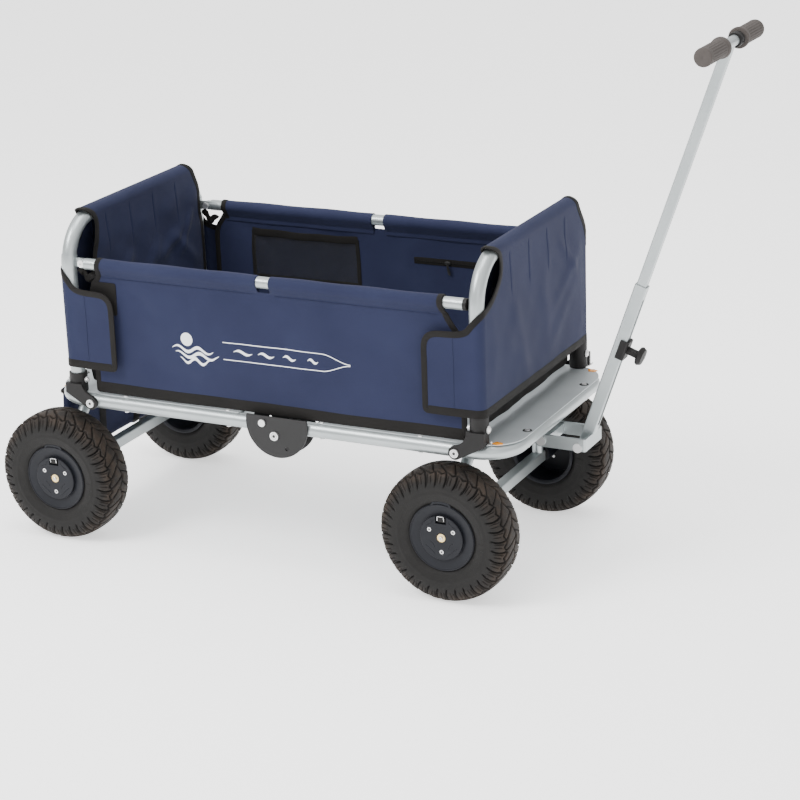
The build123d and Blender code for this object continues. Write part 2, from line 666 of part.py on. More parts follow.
# ---------------------------------------------------------------- axle frames
def axle_arch(x):
    """A tube arch welded onto a square axle bar, bored for the wheel pins."""
    points = [(x, -ARCH_Y, AXLE_Z), (x, -ARCH_Y, ARCH_Z), (x, ARCH_Y, ARCH_Z), (x, ARCH_Y, AXLE_Z)]
    frame = swept_tube(points, ARCH_BEND_R, ARCH_R, TUBE_WALL)
    bar = Pos(x, 0, AXLE_Z) * Box(AXLE_BAR, 2 * AXLE_BAR_HALF_L, AXLE_BAR)
    bar = fillet(bar.edges().filter_by(Axis.Y), AXLE_BAR_EDGE_R)
    hollow = AXLE_BAR_HALF_L - AXLE_PIN_DEPTH
    bar -= Pos(x, 0, AXLE_Z) * Box(AXLE_BAR - 2 * TUBE_WALL, 2 * hollow, AXLE_BAR - 2 * TUBE_WALL)
    frame += bar
    for side in SIDES.values():
        frame -= rod_y(x, AXLE_Z, side * (hollow - CUT_OVER), side * (AXLE_BAR_HALF_L + CUT_OVER),
                       AXLE_PIN_R + FIT)
    return frame


def rear_axle_frame():
    """The fixed rear axle frame, with pads under the rear deck tube."""
    frame = axle_arch(REAR_AXLE_X)
    for side in SIDES.values():
        frame += span_box(REAR_AXLE_X - ARCH_R, REAR_AXLE_X + ARCH_R, side * (PAD_Y - PAD_L / 2),
                          side * (PAD_Y + PAD_L / 2), ARCH_Z + ARCH_R - PAD_BURY, RAIL_Z - RAIL_R - FIT)
    return frame


def front_axle_frame():
    """The steered front axle frame: arch, turning disc and drawbar tongue."""
    frame = axle_arch(FRONT_AXLE_X)
    top = TURN_PLATE_Z - TURN_PLATE_T - TURN_GAP
    frame += rod_z(FRONT_AXLE_X, 0, top - TURN_PLATE_T, top, TURN_R)
    frame += rod_z(FRONT_AXLE_X, 0, ARCH_Z - ARCH_R, top - CUT_OVER, KINGPIN_R + KINGPIN_LAND)
    half_w = YOKE_HALF_W - YOKE_T - FIT
    tongue = span_box(FRONT_AXLE_X, TONGUE_END_X, -half_w, half_w,
                      YOKE_PIVOT_Z - TONGUE_HALF_H, YOKE_PIVOT_Z + TONGUE_HALF_H)
    tongue -= span_box(FRONT_AXLE_X + 2 * KINGPIN_R, TONGUE_END_X - TONGUE_NOSE,
                       TONGUE_WALL_Y - half_w, half_w - TONGUE_WALL_Y,
                       YOKE_PIVOT_Z - TONGUE_HALF_H + TONGUE_WALL_Z,
                       YOKE_PIVOT_Z + TONGUE_HALF_H - TONGUE_WALL_Z)
    frame += tongue
    frame -= rod_y(YOKE_PIVOT_X, YOKE_PIVOT_Z, -YOKE_HALF_W, YOKE_HALF_W, YOKE_BOLT_R + FIT)
    return frame - rod_z(FRONT_AXLE_X, 0, ARCH_Z - 4 * ARCH_R, top + CUT_OVER, KINGPIN_R + FIT)


def turntable_plate():
    """The plate under the front cross members that the axle frame turns against."""
    cross_low = RAIL_Z - CROSS_H / 2
    plate = span_box(FRONT_AXLE_X - TURN_PLATE_LENGTH / 2, FRONT_AXLE_X + TURN_PLATE_LENGTH / 2,
                     -TURN_PLATE_W / 2, TURN_PLATE_W / 2, TURN_PLATE_Z, cross_low - FIT)
    plate += rod_z(FRONT_AXLE_X, 0, TURN_PLATE_Z - TURN_PLATE_T, TURN_PLATE_Z + CUT_OVER, TURN_R)
    return plate - rod_z(FRONT_AXLE_X, 0, TURN_PLATE_Z - 2 * TURN_PLATE_T, cross_low + CUT_OVER,
                         KINGPIN_R + FIT)


def kingpin():
    """The steering bolt, head below the arch and nut above the turntable plate."""
    foot = ARCH_Z - ARCH_R - TURN_GAP
    seat = RAIL_Z - CROSS_H / 2
    shank = rod_z(FRONT_AXLE_X, 0, foot, seat + NUT_H + KINGPIN_END, KINGPIN_R)
    head = rod_z(FRONT_AXLE_X, 0, foot - NUT_H, foot, KINGPIN_R + KINGPIN_LAND)
    nut = Pos(FRONT_AXLE_X, 0, seat) * extrude(RegularPolygon(KINGPIN_R + KINGPIN_LAND, 6),
                                                amount=NUT_H)
    return shank + head + nut


# ---------------------------------------------------------------- drawbar
def drawbar_yoke():
    """The U-shaped flat-bar yoke that tips on the tongue's bolt."""
    low = YOKE_PIVOT_Z - YOKE_H / 2
    high = YOKE_PIVOT_Z + YOKE_H / 2
    rear = YOKE_PIVOT_X - YOKE_REAR_END
    solid = span_box(rear, YOKE_FRONT_X, -YOKE_HALF_W, YOKE_HALF_W, low, high)
    solid = fillet(solid.edges().filter_by(Axis.Z).sort_by(Axis.X)[-2:], YOKE_BEND_R)
    inner = YOKE_HALF_W - YOKE_T
    solid -= span_box(rear - CUT_OVER, YOKE_FRONT_X - YOKE_T, -inner, inner,
                      low - CUT_OVER, high + CUT_OVER)
    solid = fillet(solid.edges().filter_by(Axis.Y).sort_by(Axis.X)[:4], YOKE_H / 2 - CUT_OVER)
    reach = YOKE_HALF_W + CUT_OVER
    solid -= rod_y(YOKE_PIVOT_X, YOKE_PIVOT_Z, -reach, reach, YOKE_BOLT_R + FIT)
    return solid - rod_y(BAR_FOOT_X, BAR_FOOT_Z, -reach, reach, YOKE_BOLT_R + FIT)


def long_bolt(x, z, half_w, clear):
    """A bolt across the yoke, with its head on the right and its nut on the left."""
    shank = rod_y(x, z, -half_w - clear, half_w + clear + NUT_H, YOKE_BOLT_R)
    head = rod_y(x, z, -half_w - clear - HEAD_H, -half_w - clear, YOKE_BOLT_R + YOKE_BOLT_LAND)
    hexagon = Pos(x, z) * RegularPolygon(YOKE_BOLT_R + YOKE_BOLT_LAND, 6)
    nut = plate_xz(hexagon, half_w + clear, half_w + clear + NUT_H)
    return shank + head + nut


def drawbar_outer():
    """The lower drawbar tube, slotted in front for the clamp screw, with foot spacers."""
    height = OUTER_TOP - OUTER_BOTTOM
    mid = (OUTER_TOP + OUTER_BOTTOM) / 2
    tube = Pos(0, 0, mid) * Box(OUTER_DEPTH, OUTER_WIDTH, height)
    tube = fillet(tube.edges().filter_by(Axis.Z), OUTER_EDGE_R)
    tube -= Pos(0, 0, mid) * Box(OUTER_DEPTH - 2 * DRAWBAR_WALL, OUTER_WIDTH - 2 * DRAWBAR_WALL,
                                 height + 2 * CUT_OVER)
    tube -= span_box(0, OUTER_DEPTH / 2 + CUT_OVER, -SLOT_W / 2, SLOT_W / 2, SLOT_BOTTOM, SLOT_TOP)
    bar = DRAWBAR * tube
    inner = YOKE_HALF_W - YOKE_T
    bar += rod_y(BAR_FOOT_X, BAR_FOOT_Z, -inner, inner, YOKE_BOLT_R + FOOT_SPACER_WALL)
    bar -= rod_y(BAR_FOOT_X, BAR_FOOT_Z, -YOKE_HALF_W, YOKE_HALF_W, YOKE_BOLT_R + FIT)
    yoke_top = YOKE_PIVOT_Z + YOKE_H / 2
    return bar - span_box(YOKE_FRONT_X - YOKE_T - FIT, YOKE_FRONT_X + OUTER_DEPTH, -inner, inner,
                          BAR_FOOT_Z - OUTER_DEPTH, yoke_top + FIT)


def drawbar_inner():
    """The sliding upper tube, tapped for the clamp screw and coped to the crossbar."""
    depth = OUTER_DEPTH - 2 * DRAWBAR_WALL - 2 * SLIDE_GAP
    width = OUTER_WIDTH - 2 * DRAWBAR_WALL - 2 * SLIDE_GAP
    height = HANDLE_AT - INNER_BOTTOM
    mid = (HANDLE_AT + INNER_BOTTOM) / 2
    tube = Pos(0, 0, mid) * Box(depth, width, height)
    tube = fillet(tube.edges().filter_by(Axis.Z), INNER_EDGE_R)
    tube -= Pos(0, 0, mid) * Box(depth - 2 * DRAWBAR_WALL, width - 2 * DRAWBAR_WALL,
                                 height + 2 * CUT_OVER)
    tube -= Pos(0, 0, HANDLE_AT) * Rot(90, 0, 0) * Cylinder(CROSSBAR_R + FIT, 2 * width)
    tube -= Pos(0, 0, HANDLE_AT + depth) * Box(2 * depth, 2 * depth, 2 * depth)
    tube -= Pos(depth / 2, 0, CLAMP_AT) * Rot(0, 90, 0) * Cylinder(KNOB_STEM_R + FIT, depth)
    return DRAWBAR * tube


def drawbar_clamp():
    """The moulded saddle that rides on the front of the lower tube."""
    half_w = OUTER_WIDTH / 2 + SLIDE_GAP
    front = OUTER_DEPTH / 2 + SLIDE_GAP
    block = span_box(0, front + SADDLE_T, -half_w - SADDLE_T, half_w + SADDLE_T,
                     CLAMP_AT - SADDLE_L / 2, CLAMP_AT + SADDLE_L / 2)
    block = fillet(block.edges().filter_by(Axis.Z).sort_by(Axis.X)[-2:], SADDLE_EDGE_R)
    block -= span_box(-CUT_OVER, front, -half_w, half_w, CLAMP_AT - SADDLE_L, CLAMP_AT + SADDLE_L)
    block -= Pos(front, 0, CLAMP_AT) * Rot(0, 90, 0) * Cylinder(KNOB_STEM_R + FIT, 4 * SADDLE_T)
    return DRAWBAR * block


def clamp_knob():
    """The clamp knob: lobed head, neck and the screw into the upper tube."""
    seat = OUTER_DEPTH / 2 + SLIDE_GAP + SADDLE_T + SEAT_GAP
    profile = Polyline((0, 0), (KNOB_NECK_R, 0), (KNOB_NECK_R, KNOB_NECK_L),
                       (KNOB_R - KNOB_SHOULDER, KNOB_NECK_L + KNOB_SKIRT),
                       (KNOB_R, KNOB_NECK_L + KNOB_T / 2), (KNOB_R - KNOB_SKIRT, KNOB_NECK_L + KNOB_T),
                       (0, KNOB_NECK_L + KNOB_T + KNOB_SHOULDER), close=True)
    knob = revolve(Plane.XZ * make_face(profile), axis=Axis.Z)
    stem_l = seat - OUTER_DEPTH / 2 + KNOB_STEM_IN
    knob += Pos(0, 0, CUT_OVER - stem_l / 2) * Cylinder(KNOB_STEM_R, stem_l + 2 * CUT_OVER)
    return DRAWBAR * Pos(seat, 0, CLAMP_AT) * Rot(0, 90, 0) * knob


def handle_crossbar():
    """The handle's cross tube."""
    tube = Rot(90, 0, 0) * Cylinder(CROSSBAR_R, 2 * CROSSBAR_HALF_L)
    tube -= Rot(90, 0, 0) * Cylinder(CROSSBAR_R - TUBE_WALL, 2 * CROSSBAR_HALF_L + 2 * CUT_OVER)
    return DRAWBAR * Pos(0, 0, HANDLE_AT) * tube


def handle_grips():
    """The two rubber grips, each with an inner flange and a closed outer end."""
    made = []
    for side in SIDES.values():
        outer = CROSSBAR_HALF_L + GRIP_END_T
        inner = outer - GRIP_L
        grip = rod_y(0, 0, side * inner, side * outer, GRIP_R)
        grip += rod_y(0, 0, side * inner, side * (inner + GRIP_FLANGE_L), GRIP_FLANGE_R)
        grip -= rod_y(0, 0, side * (inner - CUT_OVER), side * (CROSSBAR_HALF_L + FIT), CROSSBAR_R + FIT)
        made.append(DRAWBAR * Pos(0, 0, HANDLE_AT) * grip)
    return group(made)


# ---------------------------------------------------------------- fabric
def side_panel(side):
    """A fabric side: flat sheet with a sleeve round the top rail, notched at mid-length."""
    y = side * TOP_RAIL_Y
    sleeve_r = TOP_RAIL_R + FABRIC_GAP + HEM_WALL
    bore_r = TOP_RAIL_R + FABRIC_GAP
    top = TOP_RAIL_Z - bore_r - SEAT_GAP
    notch = top - NOTCH_DEPTH
    outline = Polyline((PANEL_REAR_X, PANEL_FOOT_Z), (PANEL_FRONT_X, PANEL_FOOT_Z),
                       (PANEL_FRONT_X, top - PANEL_CORNER), (HEM_FRONT_X, top), (NOTCH_FRONT_X, top),
                       (NOTCH_FRONT_X, notch), (NOTCH_REAR_X, notch), (NOTCH_REAR_X, top),
                       (HEM_REAR_X, top), (PANEL_REAR_X, top - PANEL_CORNER), close=True)
    panel = plate_xz(make_face(outline), y - PANEL_T / 2, y + PANEL_T / 2)
    for x0, x1 in ((HEM_REAR_X, NOTCH_REAR_X), (NOTCH_FRONT_X, HEM_FRONT_X)):
        ring = rod_x(y, TOP_RAIL_Z, x0, x1, sleeve_r)
        panel += ring - rod_x(y, TOP_RAIL_Z, x0 - CUT_OVER, x1 + CUT_OVER, bore_r)
    return panel


def end_panel(post_x):
    """A fabric end: sleeve over the bow, outer and inner sheets, and wrap-round flaps."""
    sign = math.copysign(1, post_x)
    bore_r = BOW_R + SHEET_GAP
    sleeve_r = bore_r + SHEET_T
    outer_x = post_x + sign * bore_r
    inner_x = post_x - sign * bore_r
    step_in, step_up = SCALLOP_STEP
    side_edge = [(FLAP_Y + SHEET_T, END_PANEL_FOOT_Z), (FLAP_Y + SHEET_T, FLAP_TOP_Z),
                 (FLAP_Y - step_in, FLAP_TOP_Z + step_up), (SCALLOP_MID_Y, BOW_TOP_Z - SCALLOP_MID_DROP),
                 (SCALLOP_Y, BOW_TOP_Z - SCALLOP_TOP_DROP), (END_PANEL_SLEEVE_Y, BOW_TOP_Z)]
    other_edge = [(-y, z) for y, z in reversed(side_edge)]
    face = make_face(Polyline(*[(0, y, z) for y, z in side_edge + other_edge], close=True))
    panel = Pos(outer_x, 0, 0) * extrude(face, amount=sign * SHEET_T, dir=(1, 0, 0))
    half = END_PANEL_SLEEVE_Y
    reach = half + CUT_OVER
    ring = rod_y(post_x, BOW_TOP_Z, -half, half, sleeve_r) - rod_y(post_x, BOW_TOP_Z, -reach, reach, bore_r)
    ring -= span_box(post_x - 2 * sleeve_r, post_x + 2 * sleeve_r, -reach, reach,
                     BOW_TOP_Z - 2 * sleeve_r, BOW_TOP_Z)
    panel += ring
    panel += span_box(inner_x, inner_x - sign * SHEET_T, -half, half, INNER_SHEET_FOOT_Z, BOW_TOP_Z)
    panel += span_box(inner_x, inner_x - sign * SHEET_T, -INNER_SHEET_Y, INNER_SHEET_Y,
                      INNER_SHEET_FOOT_Z, BOW_TOP_Z - 2 * BOW_R)
    for side in SIDES.values():
        panel += span_box(outer_x + sign * SHEET_T, outer_x - sign * FLAP_L, side * FLAP_Y,
                          side * (FLAP_Y + SHEET_T), END_PANEL_FOOT_Z, FLAP_TOP_Z)
    return panel


def storage_bag():
    """The flat bag that hangs behind the rear axle frame."""
    front = DECK_REAR_X - RAIL_R - BAG_GAP
    bag = span_box(front - BAG_DEPTH, front, -BAG_HALF_W, BAG_HALF_W, BAG_FOOT_Z,
                   RAIL_Z - RAIL_R - BAG_GAP)
    return fillet(bag.edges().filter_by(Axis.Z), BAG_EDGE_R)


def build_nodes():
    """Every sub-part of the cart, by node name."""
    nodes = {}
    for side_name, side in SIDES.items():
        add_wheel(nodes, "rear_" + side_name, REAR_AXLE_X, side)
        add_wheel(nodes, "front_" + side_name, FRONT_AXLE_X, side)
        nodes["lock_pin_" + side_name] = lock_pin(side)
        nodes["side_rail_" + side_name] = side_rail(side)
        nodes["side_panel_" + side_name] = side_panel(side)
    nodes["rear_axle_pins"] = axle_pins(REAR_AXLE_X)
    nodes["front_axle_pins"] = axle_pins(FRONT_AXLE_X)
    nodes["rear_deck_frame"] = rear_deck_frame()
    nodes["front_deck_frame"] = front_deck_frame()
    nodes["rear_deck_plate"] = deck_plate(DECK_REAR_X, REAR_RIVET_X)
    nodes["front_deck_plate"] = deck_plate(DECK_FRONT_X, FRONT_RIVET_X)
    nodes["rear_deck_rivets"] = rivets(DECK_REAR_X, REAR_RIVET_X)
    nodes["front_deck_rivets"] = rivets(DECK_FRONT_X, FRONT_RIVET_X)
    nodes["fold_cheeks"] = fold_cheeks()
    nodes["fold_bolts"] = fold_bolts()
    nodes["rear_bow"] = bow(REAR_POST_X)
    nodes["front_bow"] = bow(FRONT_POST_X)
    nodes["rear_bow_brackets"] = bow_brackets(REAR_POST_X, REAR_EYE_X, REAR_SLEEVE_TOP_Z)
    nodes["front_bow_brackets"] = bow_brackets(FRONT_POST_X, FRONT_EYE_X, FRONT_SLEEVE_TOP_Z)
    nodes["rear_frame_bolts"] = group(bow_bolts(REAR_EYE_X) + rail_bolts())
    nodes["front_frame_bolts"] = group(bow_bolts(FRONT_EYE_X))
    nodes["rail_end_plugs"] = rail_end_plugs()
    nodes["rail_clamps"] = rail_clamps()
    nodes["rear_axle_frame"] = rear_axle_frame()
    nodes["front_axle_frame"] = front_axle_frame()
    nodes["turntable_plate"] = turntable_plate()
    nodes["kingpin"] = kingpin()
    nodes["drawbar_yoke"] = drawbar_yoke()
    nodes["yoke_pivot_bolt"] = long_bolt(YOKE_PIVOT_X, YOKE_PIVOT_Z, YOKE_HALF_W, YOKE_BOLT_GAP)
    nodes["drawbar_foot_bolt"] = long_bolt(BAR_FOOT_X, BAR_FOOT_Z, YOKE_HALF_W, FIT)
    nodes["drawbar_outer"] = drawbar_outer()
    nodes["drawbar_inner"] = drawbar_inner()
    nodes["drawbar_clamp"] = drawbar_clamp()
    nodes["clamp_knob"] = clamp_knob()
    nodes["handle_crossbar"] = handle_crossbar()
    nodes["handle_grips"] = handle_grips()
    nodes["front_panel"] = end_panel(FRONT_POST_X)
    nodes["rear_panel"] = end_panel(REAR_POST_X)
    nodes["storage_bag"] = storage_bag()
    return nodes


os.makedirs("parts", exist_ok=True)
for node_name, node_shape in build_nodes().items():
    export_step(Pos(-ORIGIN_X, 0, 0) * node_shape, "parts/" + node_name + ".step")
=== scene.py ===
import logging
import math
from dataclasses import dataclass, field
from enum import Enum
from typing import Callable, Optional, Sequence

import bmesh
import bpy
import numpy as np
from mathutils import Matrix, Vector
from mathutils.geometry import delaunay_2d_cdt


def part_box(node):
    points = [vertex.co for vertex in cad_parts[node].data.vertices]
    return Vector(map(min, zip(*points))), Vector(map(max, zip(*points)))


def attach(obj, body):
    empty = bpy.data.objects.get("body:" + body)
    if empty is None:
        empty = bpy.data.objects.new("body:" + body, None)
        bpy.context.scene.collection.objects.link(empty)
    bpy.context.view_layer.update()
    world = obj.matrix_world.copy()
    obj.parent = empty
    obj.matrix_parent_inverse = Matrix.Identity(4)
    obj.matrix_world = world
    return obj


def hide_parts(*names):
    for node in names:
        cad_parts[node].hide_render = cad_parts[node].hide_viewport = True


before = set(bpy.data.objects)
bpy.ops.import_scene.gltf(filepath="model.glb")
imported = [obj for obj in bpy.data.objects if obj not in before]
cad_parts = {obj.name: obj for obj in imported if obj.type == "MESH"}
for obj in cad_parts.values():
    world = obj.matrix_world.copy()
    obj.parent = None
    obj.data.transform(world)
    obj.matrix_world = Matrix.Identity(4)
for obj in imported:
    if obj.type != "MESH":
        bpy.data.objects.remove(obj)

log = logging.getLogger("cart")
MM = 0.001
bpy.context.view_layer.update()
FRONT_AXLE = 348.0
KING_LOW, KING_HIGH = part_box("kingpin")
FOLD_X = (KING_LOW.x + KING_HIGH.x) / 2 - FRONT_AXLE * MM
REAR_AXLE = -490.0
FRONT_POST, REAR_POST = 412.0, -441.0
WHEEL_Y = 235.0
AXLE_Z = 130.0
RIGHT, LEFT = -1, 1
ALONG, ACROSS, UP = (1, 0, 0), (0, 1, 0), (0, 0, 1)


def to_row(points: np.ndarray) -> np.ndarray:
    """Hinge-frame millimetres as row-frame metres: scaled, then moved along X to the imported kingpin."""
    return np.asarray(points, float) * MM + np.array([FOLD_X, 0.0, 0.0])


def unit(v: np.ndarray) -> np.ndarray:
    """Each row divided by its length."""
    return v / np.maximum(np.linalg.norm(v, axis=-1, keepdims=True), 1e-12)


def pulse(d: np.ndarray, half: float, soft: float) -> np.ndarray:
    """1 within half of zero, falling smoothly to 0 over soft."""
    x = np.clip((half + soft - np.abs(d)) / soft, 0, 1)
    return x * x * (3 - 2 * x)


def ease(x: np.ndarray, low: float, high: float) -> np.ndarray:
    """Smooth step from 0 at low to 1 at high."""
    k = np.clip((x - low) / (high - low), 0, 1)
    return k * k * (3 - 2 * k)


def circle(count: int) -> np.ndarray:
    """That many equal turns round a circle, in radians, without coming back to the first."""
    return np.linspace(0, 2 * np.pi, count, endpoint=False)


def distances(path: np.ndarray) -> np.ndarray:
    """How far each point of a path is from its start, measured along it."""
    return np.concatenate([[0], np.cumsum(np.linalg.norm(np.diff(path, axis=0), axis=1))])


def headings(path: np.ndarray, closed: bool) -> np.ndarray:
    """The direction that a path runs in at each of its points."""
    return unit(np.roll(path, -1, 0) - np.roll(path, 1, 0) if closed else np.gradient(path, axis=0))


def signed_area(outline: np.ndarray) -> float:
    """The area inside an outline, above zero where it runs anticlockwise."""
    a, b = outline, np.roll(outline, -1, 0)
    return float((a[:, 0] * b[:, 1] - b[:, 0] * a[:, 1]).sum() / 2)


def level(s: np.ndarray, t: float) -> np.ndarray:
    """Flat points at each s, all at the same t."""
    return np.stack([s, np.full_like(s, t)], -1)


def ribbon(s: np.ndarray, middle: np.ndarray, half: np.ndarray) -> np.ndarray:
    """The outline of a band that keeps half its width to each side of a middle line."""
    return np.concatenate([np.stack([s, middle - half], -1), np.stack([s, middle + half], -1)[::-1]])


# ---------------------------------------------------------------- shader expressions
class Sock:
    """A node's output, or a plain value, that adds its own Math nodes when it is used in sums."""

    def __init__(self, shader: "Shader", link: object) -> None:
        """Keeps the socket and the shader that it belongs to."""
        self.shader, self.link = shader, link

    def math(self, operation: str, *others: object) -> "Sock":
        """One Math node with this socket first.

        Args:
            operation: the Math node's operation.
            others: the values or sockets of its other inputs.

        Returns:
            The node's output.
        """
        values = {i: v for i, v in enumerate((self,) + others)}
        return self.shader.node("ShaderNodeMath", {"operation": operation}, values)

    def __add__(self, other: object) -> "Sock":
        """Sum."""
        return self.math("ADD", other)

    __radd__ = __add__

    def __mul__(self, other: object) -> "Sock":
        """Product."""
        return self.math("MULTIPLY", other)

    __rmul__ = __mul__

    def __sub__(self, other: object) -> "Sock":
        """Difference."""
        return self.math("SUBTRACT", other)

    def __rsub__(self, other: float) -> "Sock":
        """Difference with a plain number first."""
        return (self * -1.0) + other

    def step(self, low: float, high: float) -> "Sock":
        """Smooth step from 0 at low to 1 at high."""
        return self.shader.node("ShaderNodeMapRange", {"interpolation_type": "SMOOTHSTEP"},
                                {0: self, 1: low, 2: high, 3: 0.0, 4: 1.0})


class Shader:
    """One material: its node tree and its Principled shader."""

    def __init__(self, name: str, **constants: object) -> None:
        """Starts the material and sets the sockets that are the same all over."""
        self.material = bpy.data.materials.new(name)
        self.material.use_nodes = True
        self.tree = self.material.node_tree
        self.principled = self.tree.nodes["Principled BSDF"]
        self.put(**constants)

    def node(self, kind: str, settings: Optional[dict] = None, inputs: Optional[dict] = None,
             out: object = 0) -> Sock:
        """Adds one node.

        Args:
            kind: the node's type.
            settings: its own settings, set first.
            inputs: values or sockets by input name or number.
            out: the output wanted, by name or number.

        Returns:
            That output.
        """
        made = self.tree.nodes.new(kind)
        for key, value in (settings or {}).items():
            setattr(made, key, value)
        for key, value in (inputs or {}).items():
            self.feed(made.inputs[key], value)
        return Sock(self, made.outputs[out])

    def feed(self, socket: object, value: object) -> None:
        """Links a socket, or sets its value."""
        if isinstance(value, Sock):
            self.tree.links.new(value.link, socket)
        elif isinstance(value, tuple) and len(value) == 3 and socket.type == "RGBA":
            socket.default_value = (*value, 1.0)
        else:
            socket.default_value = value

    def put(self, **sockets: object) -> None:
        """Feeds the Principled shader's sockets; an underscore stands for a space."""
        for key, value in sockets.items():
            self.feed(self.principled.inputs[key.replace("_", " ")], value)

    def place(self) -> Sock:
        """Object coordinates."""
        return self.node("ShaderNodeTexCoord", out="Object")

    def flat(self) -> Sock:
        """The cloth's own flat coordinates, in metres."""
        return self.node("ShaderNodeUVMap", {"uv_map": "flat"})

    def waves(self, flat: Sock, pitch: float) -> tuple:
        """The sines of the two flat coordinates, one turn to each pitch."""
        split = self.node("ShaderNodeSeparateXYZ", {}, {0: flat}).link.node
        return tuple((Sock(self, split.outputs[k]) * (2 * math.pi / pitch)).math("SINE") for k in (0, 1))

    def own(self, name: str) -> Sock:
        """A number kept on the mesh's points."""
        return self.node("ShaderNodeAttribute", {"attribute_name": name}, out="Fac")

    def noise(self, size: float, detail: float = 3.0, at: Optional[Sock] = None) -> Sock:
        """Noise with features about this many metres across."""
        return self.node("ShaderNodeTexNoise", {}, {"Vector": at or self.place(), "Scale": 1 / size,
                                                    "Detail": detail})

    def mix(self, factor: object, first: object, second: object) -> Sock:
        """First colour at 0, second at 1."""
        return self.node("ShaderNodeMix", {"data_type": "RGBA"}, {0: factor, 6: first, 7: second}, 2)

    def bump(self, height: Sock, metres: float, strength: float = 1.0) -> Sock:
        """Turns a height of 0 to 1 into a surface normal, the full height being that many metres."""
        return self.node("ShaderNodeBump", {}, {"Strength": strength, "Distance": metres, "Height": height})


PATCH_SIZE, SCUFF_SIZE = 0.09, 0.012
BRUSHING = (60.0, 1400.0, 1400.0)


@dataclass(frozen=True)
class Coating:
    """A painted, moulded or metal surface: mottled colour, uneven gloss and a fine grain.

    spread is how far the roughness wanders, grain the size of the grain and depth its height, both in metres.
    """

    name: str
    colour: tuple
    worn: tuple
    metallic: float
    roughness: float
    spread: float
    grain: float
    depth: float
    coat: float = 0.0
    brushed: bool = False
    gloss: float = 0.5

    def build(self) -> bpy.types.Material:
        """Mixes colour by broad noise, gloss by fine noise, and bumps by the grain."""
        s = Shader(self.name, Metallic=self.metallic, Coat_Weight=self.coat, Coat_Roughness=0.25,
                   Specular_IOR_Level=self.gloss)
        broad, fine = s.noise(PATCH_SIZE, 4.0), s.noise(self.grain, 3.0)
        if self.brushed:
            stretched = s.node("ShaderNodeMapping", {}, {"Vector": s.place(), "Scale": BRUSHING})
            fine = s.node("ShaderNodeTexNoise", {}, {"Vector": stretched, "Scale": 1.0, "Detail": 4.0})
        scuffs = s.noise(SCUFF_SIZE, 6.0).step(0.62, 0.78)
        lowest = self.roughness - self.spread * 0.8
        s.put(Base_Color=s.mix(broad.step(0.3, 0.75) * 0.6 + scuffs * 0.25, self.colour, self.worn),
              Roughness=fine * self.spread + broad * (self.spread * 0.6) + lowest,
              Normal=s.bump(fine, self.depth))
        return s.material


@dataclass(frozen=True)
class Weave:
    """Plain-woven cloth read from the flat pattern: two crossing threads, slubs and faded patches."""

    name: str
    colour: tuple
    faded: tuple
    pitch: float
    depth: float
    roughness: float = 0.75
    sheen: float = 0.25
    ribbed: bool = False

    def build(self) -> bpy.types.Material:
        """Thread height is the product of two sines; a ribbed tape has one sine only."""
        s = Shader(self.name, Sheen_Weight=self.sheen, Sheen_Roughness=0.4, Specular_IOR_Level=0.16)
        flat = s.flat()
        across, along = s.waves(flat, self.pitch)
        thread = across if self.ribbed else across * along
        slub = s.noise(0.004, 4.0, flat)
        broad = s.noise(0.16, 3.0, flat)
        tone = broad.step(0.3, 0.7) * 0.55 + slub * 0.35 + thread * 0.12
        s.put(Base_Color=s.mix(tone, self.colour, self.faded),
              Roughness=slub * 0.15 + (self.roughness - 0.07),
              Normal=s.bump(thread * 0.5 + slub * 0.5, self.depth))
        return s.material


@dataclass(frozen=True)
class Netting:
    """Pocket net: round holes on a diagonal grid cut by the alpha."""

    name: str
    colour: tuple
    pitch: float

    def build(self) -> bpy.types.Material:
        """A hole opens where the product of the two sines is near its peaks."""
        s = Shader(self.name, Roughness=0.7)
        across, along = s.waves(s.flat(), self.pitch)
        wave = across * along
        s.put(Base_Color=s.mix(s.noise(0.02), self.colour, tuple(c * 1.8 for c in self.colour)),
              Alpha=1 - wave.math("ABSOLUTE").step(0.30, 0.42),
              Normal=s.bump(wave, 0.0003))
        return s.material


@dataclass(frozen=True)
class Tread:
    """Tyre rubber: dusty brown on the blocks, blacker on the sidewall, and near black in the grooves as painted
    shade.
    """

    name: str = "tyre_rubber"

    def build(self) -> bpy.types.Material:
        """Colour follows the mesh's own groove depth and tread band; the darkening in the grooves is painted shade.
        """
        s = Shader(self.name, Specular_IOR_Level=0.2)
        groove, band = s.own("groove"), s.own("band")
        grain, dust = s.noise(0.0018, 5.0), s.noise(0.02, 4.0)
        wall = s.mix(dust, (0.0055, 0.0051, 0.0049), (0.0110, 0.0102, 0.0096))
        blocks = s.mix(dust.step(0.35, 0.7), (0.0120, 0.0092, 0.0076), (0.0260, 0.0180, 0.0128))
        # Painted shade: the grooves are darkened towards near black by their depth.
        s.put(Base_Color=s.mix(groove * 0.85, s.mix(band, wall, blocks), (0.0015, 0.0013, 0.0012)),
              Roughness=grain * 0.25 + groove * 0.1 + 0.48,
              Normal=s.bump(grain, 0.0005))
        return s.material


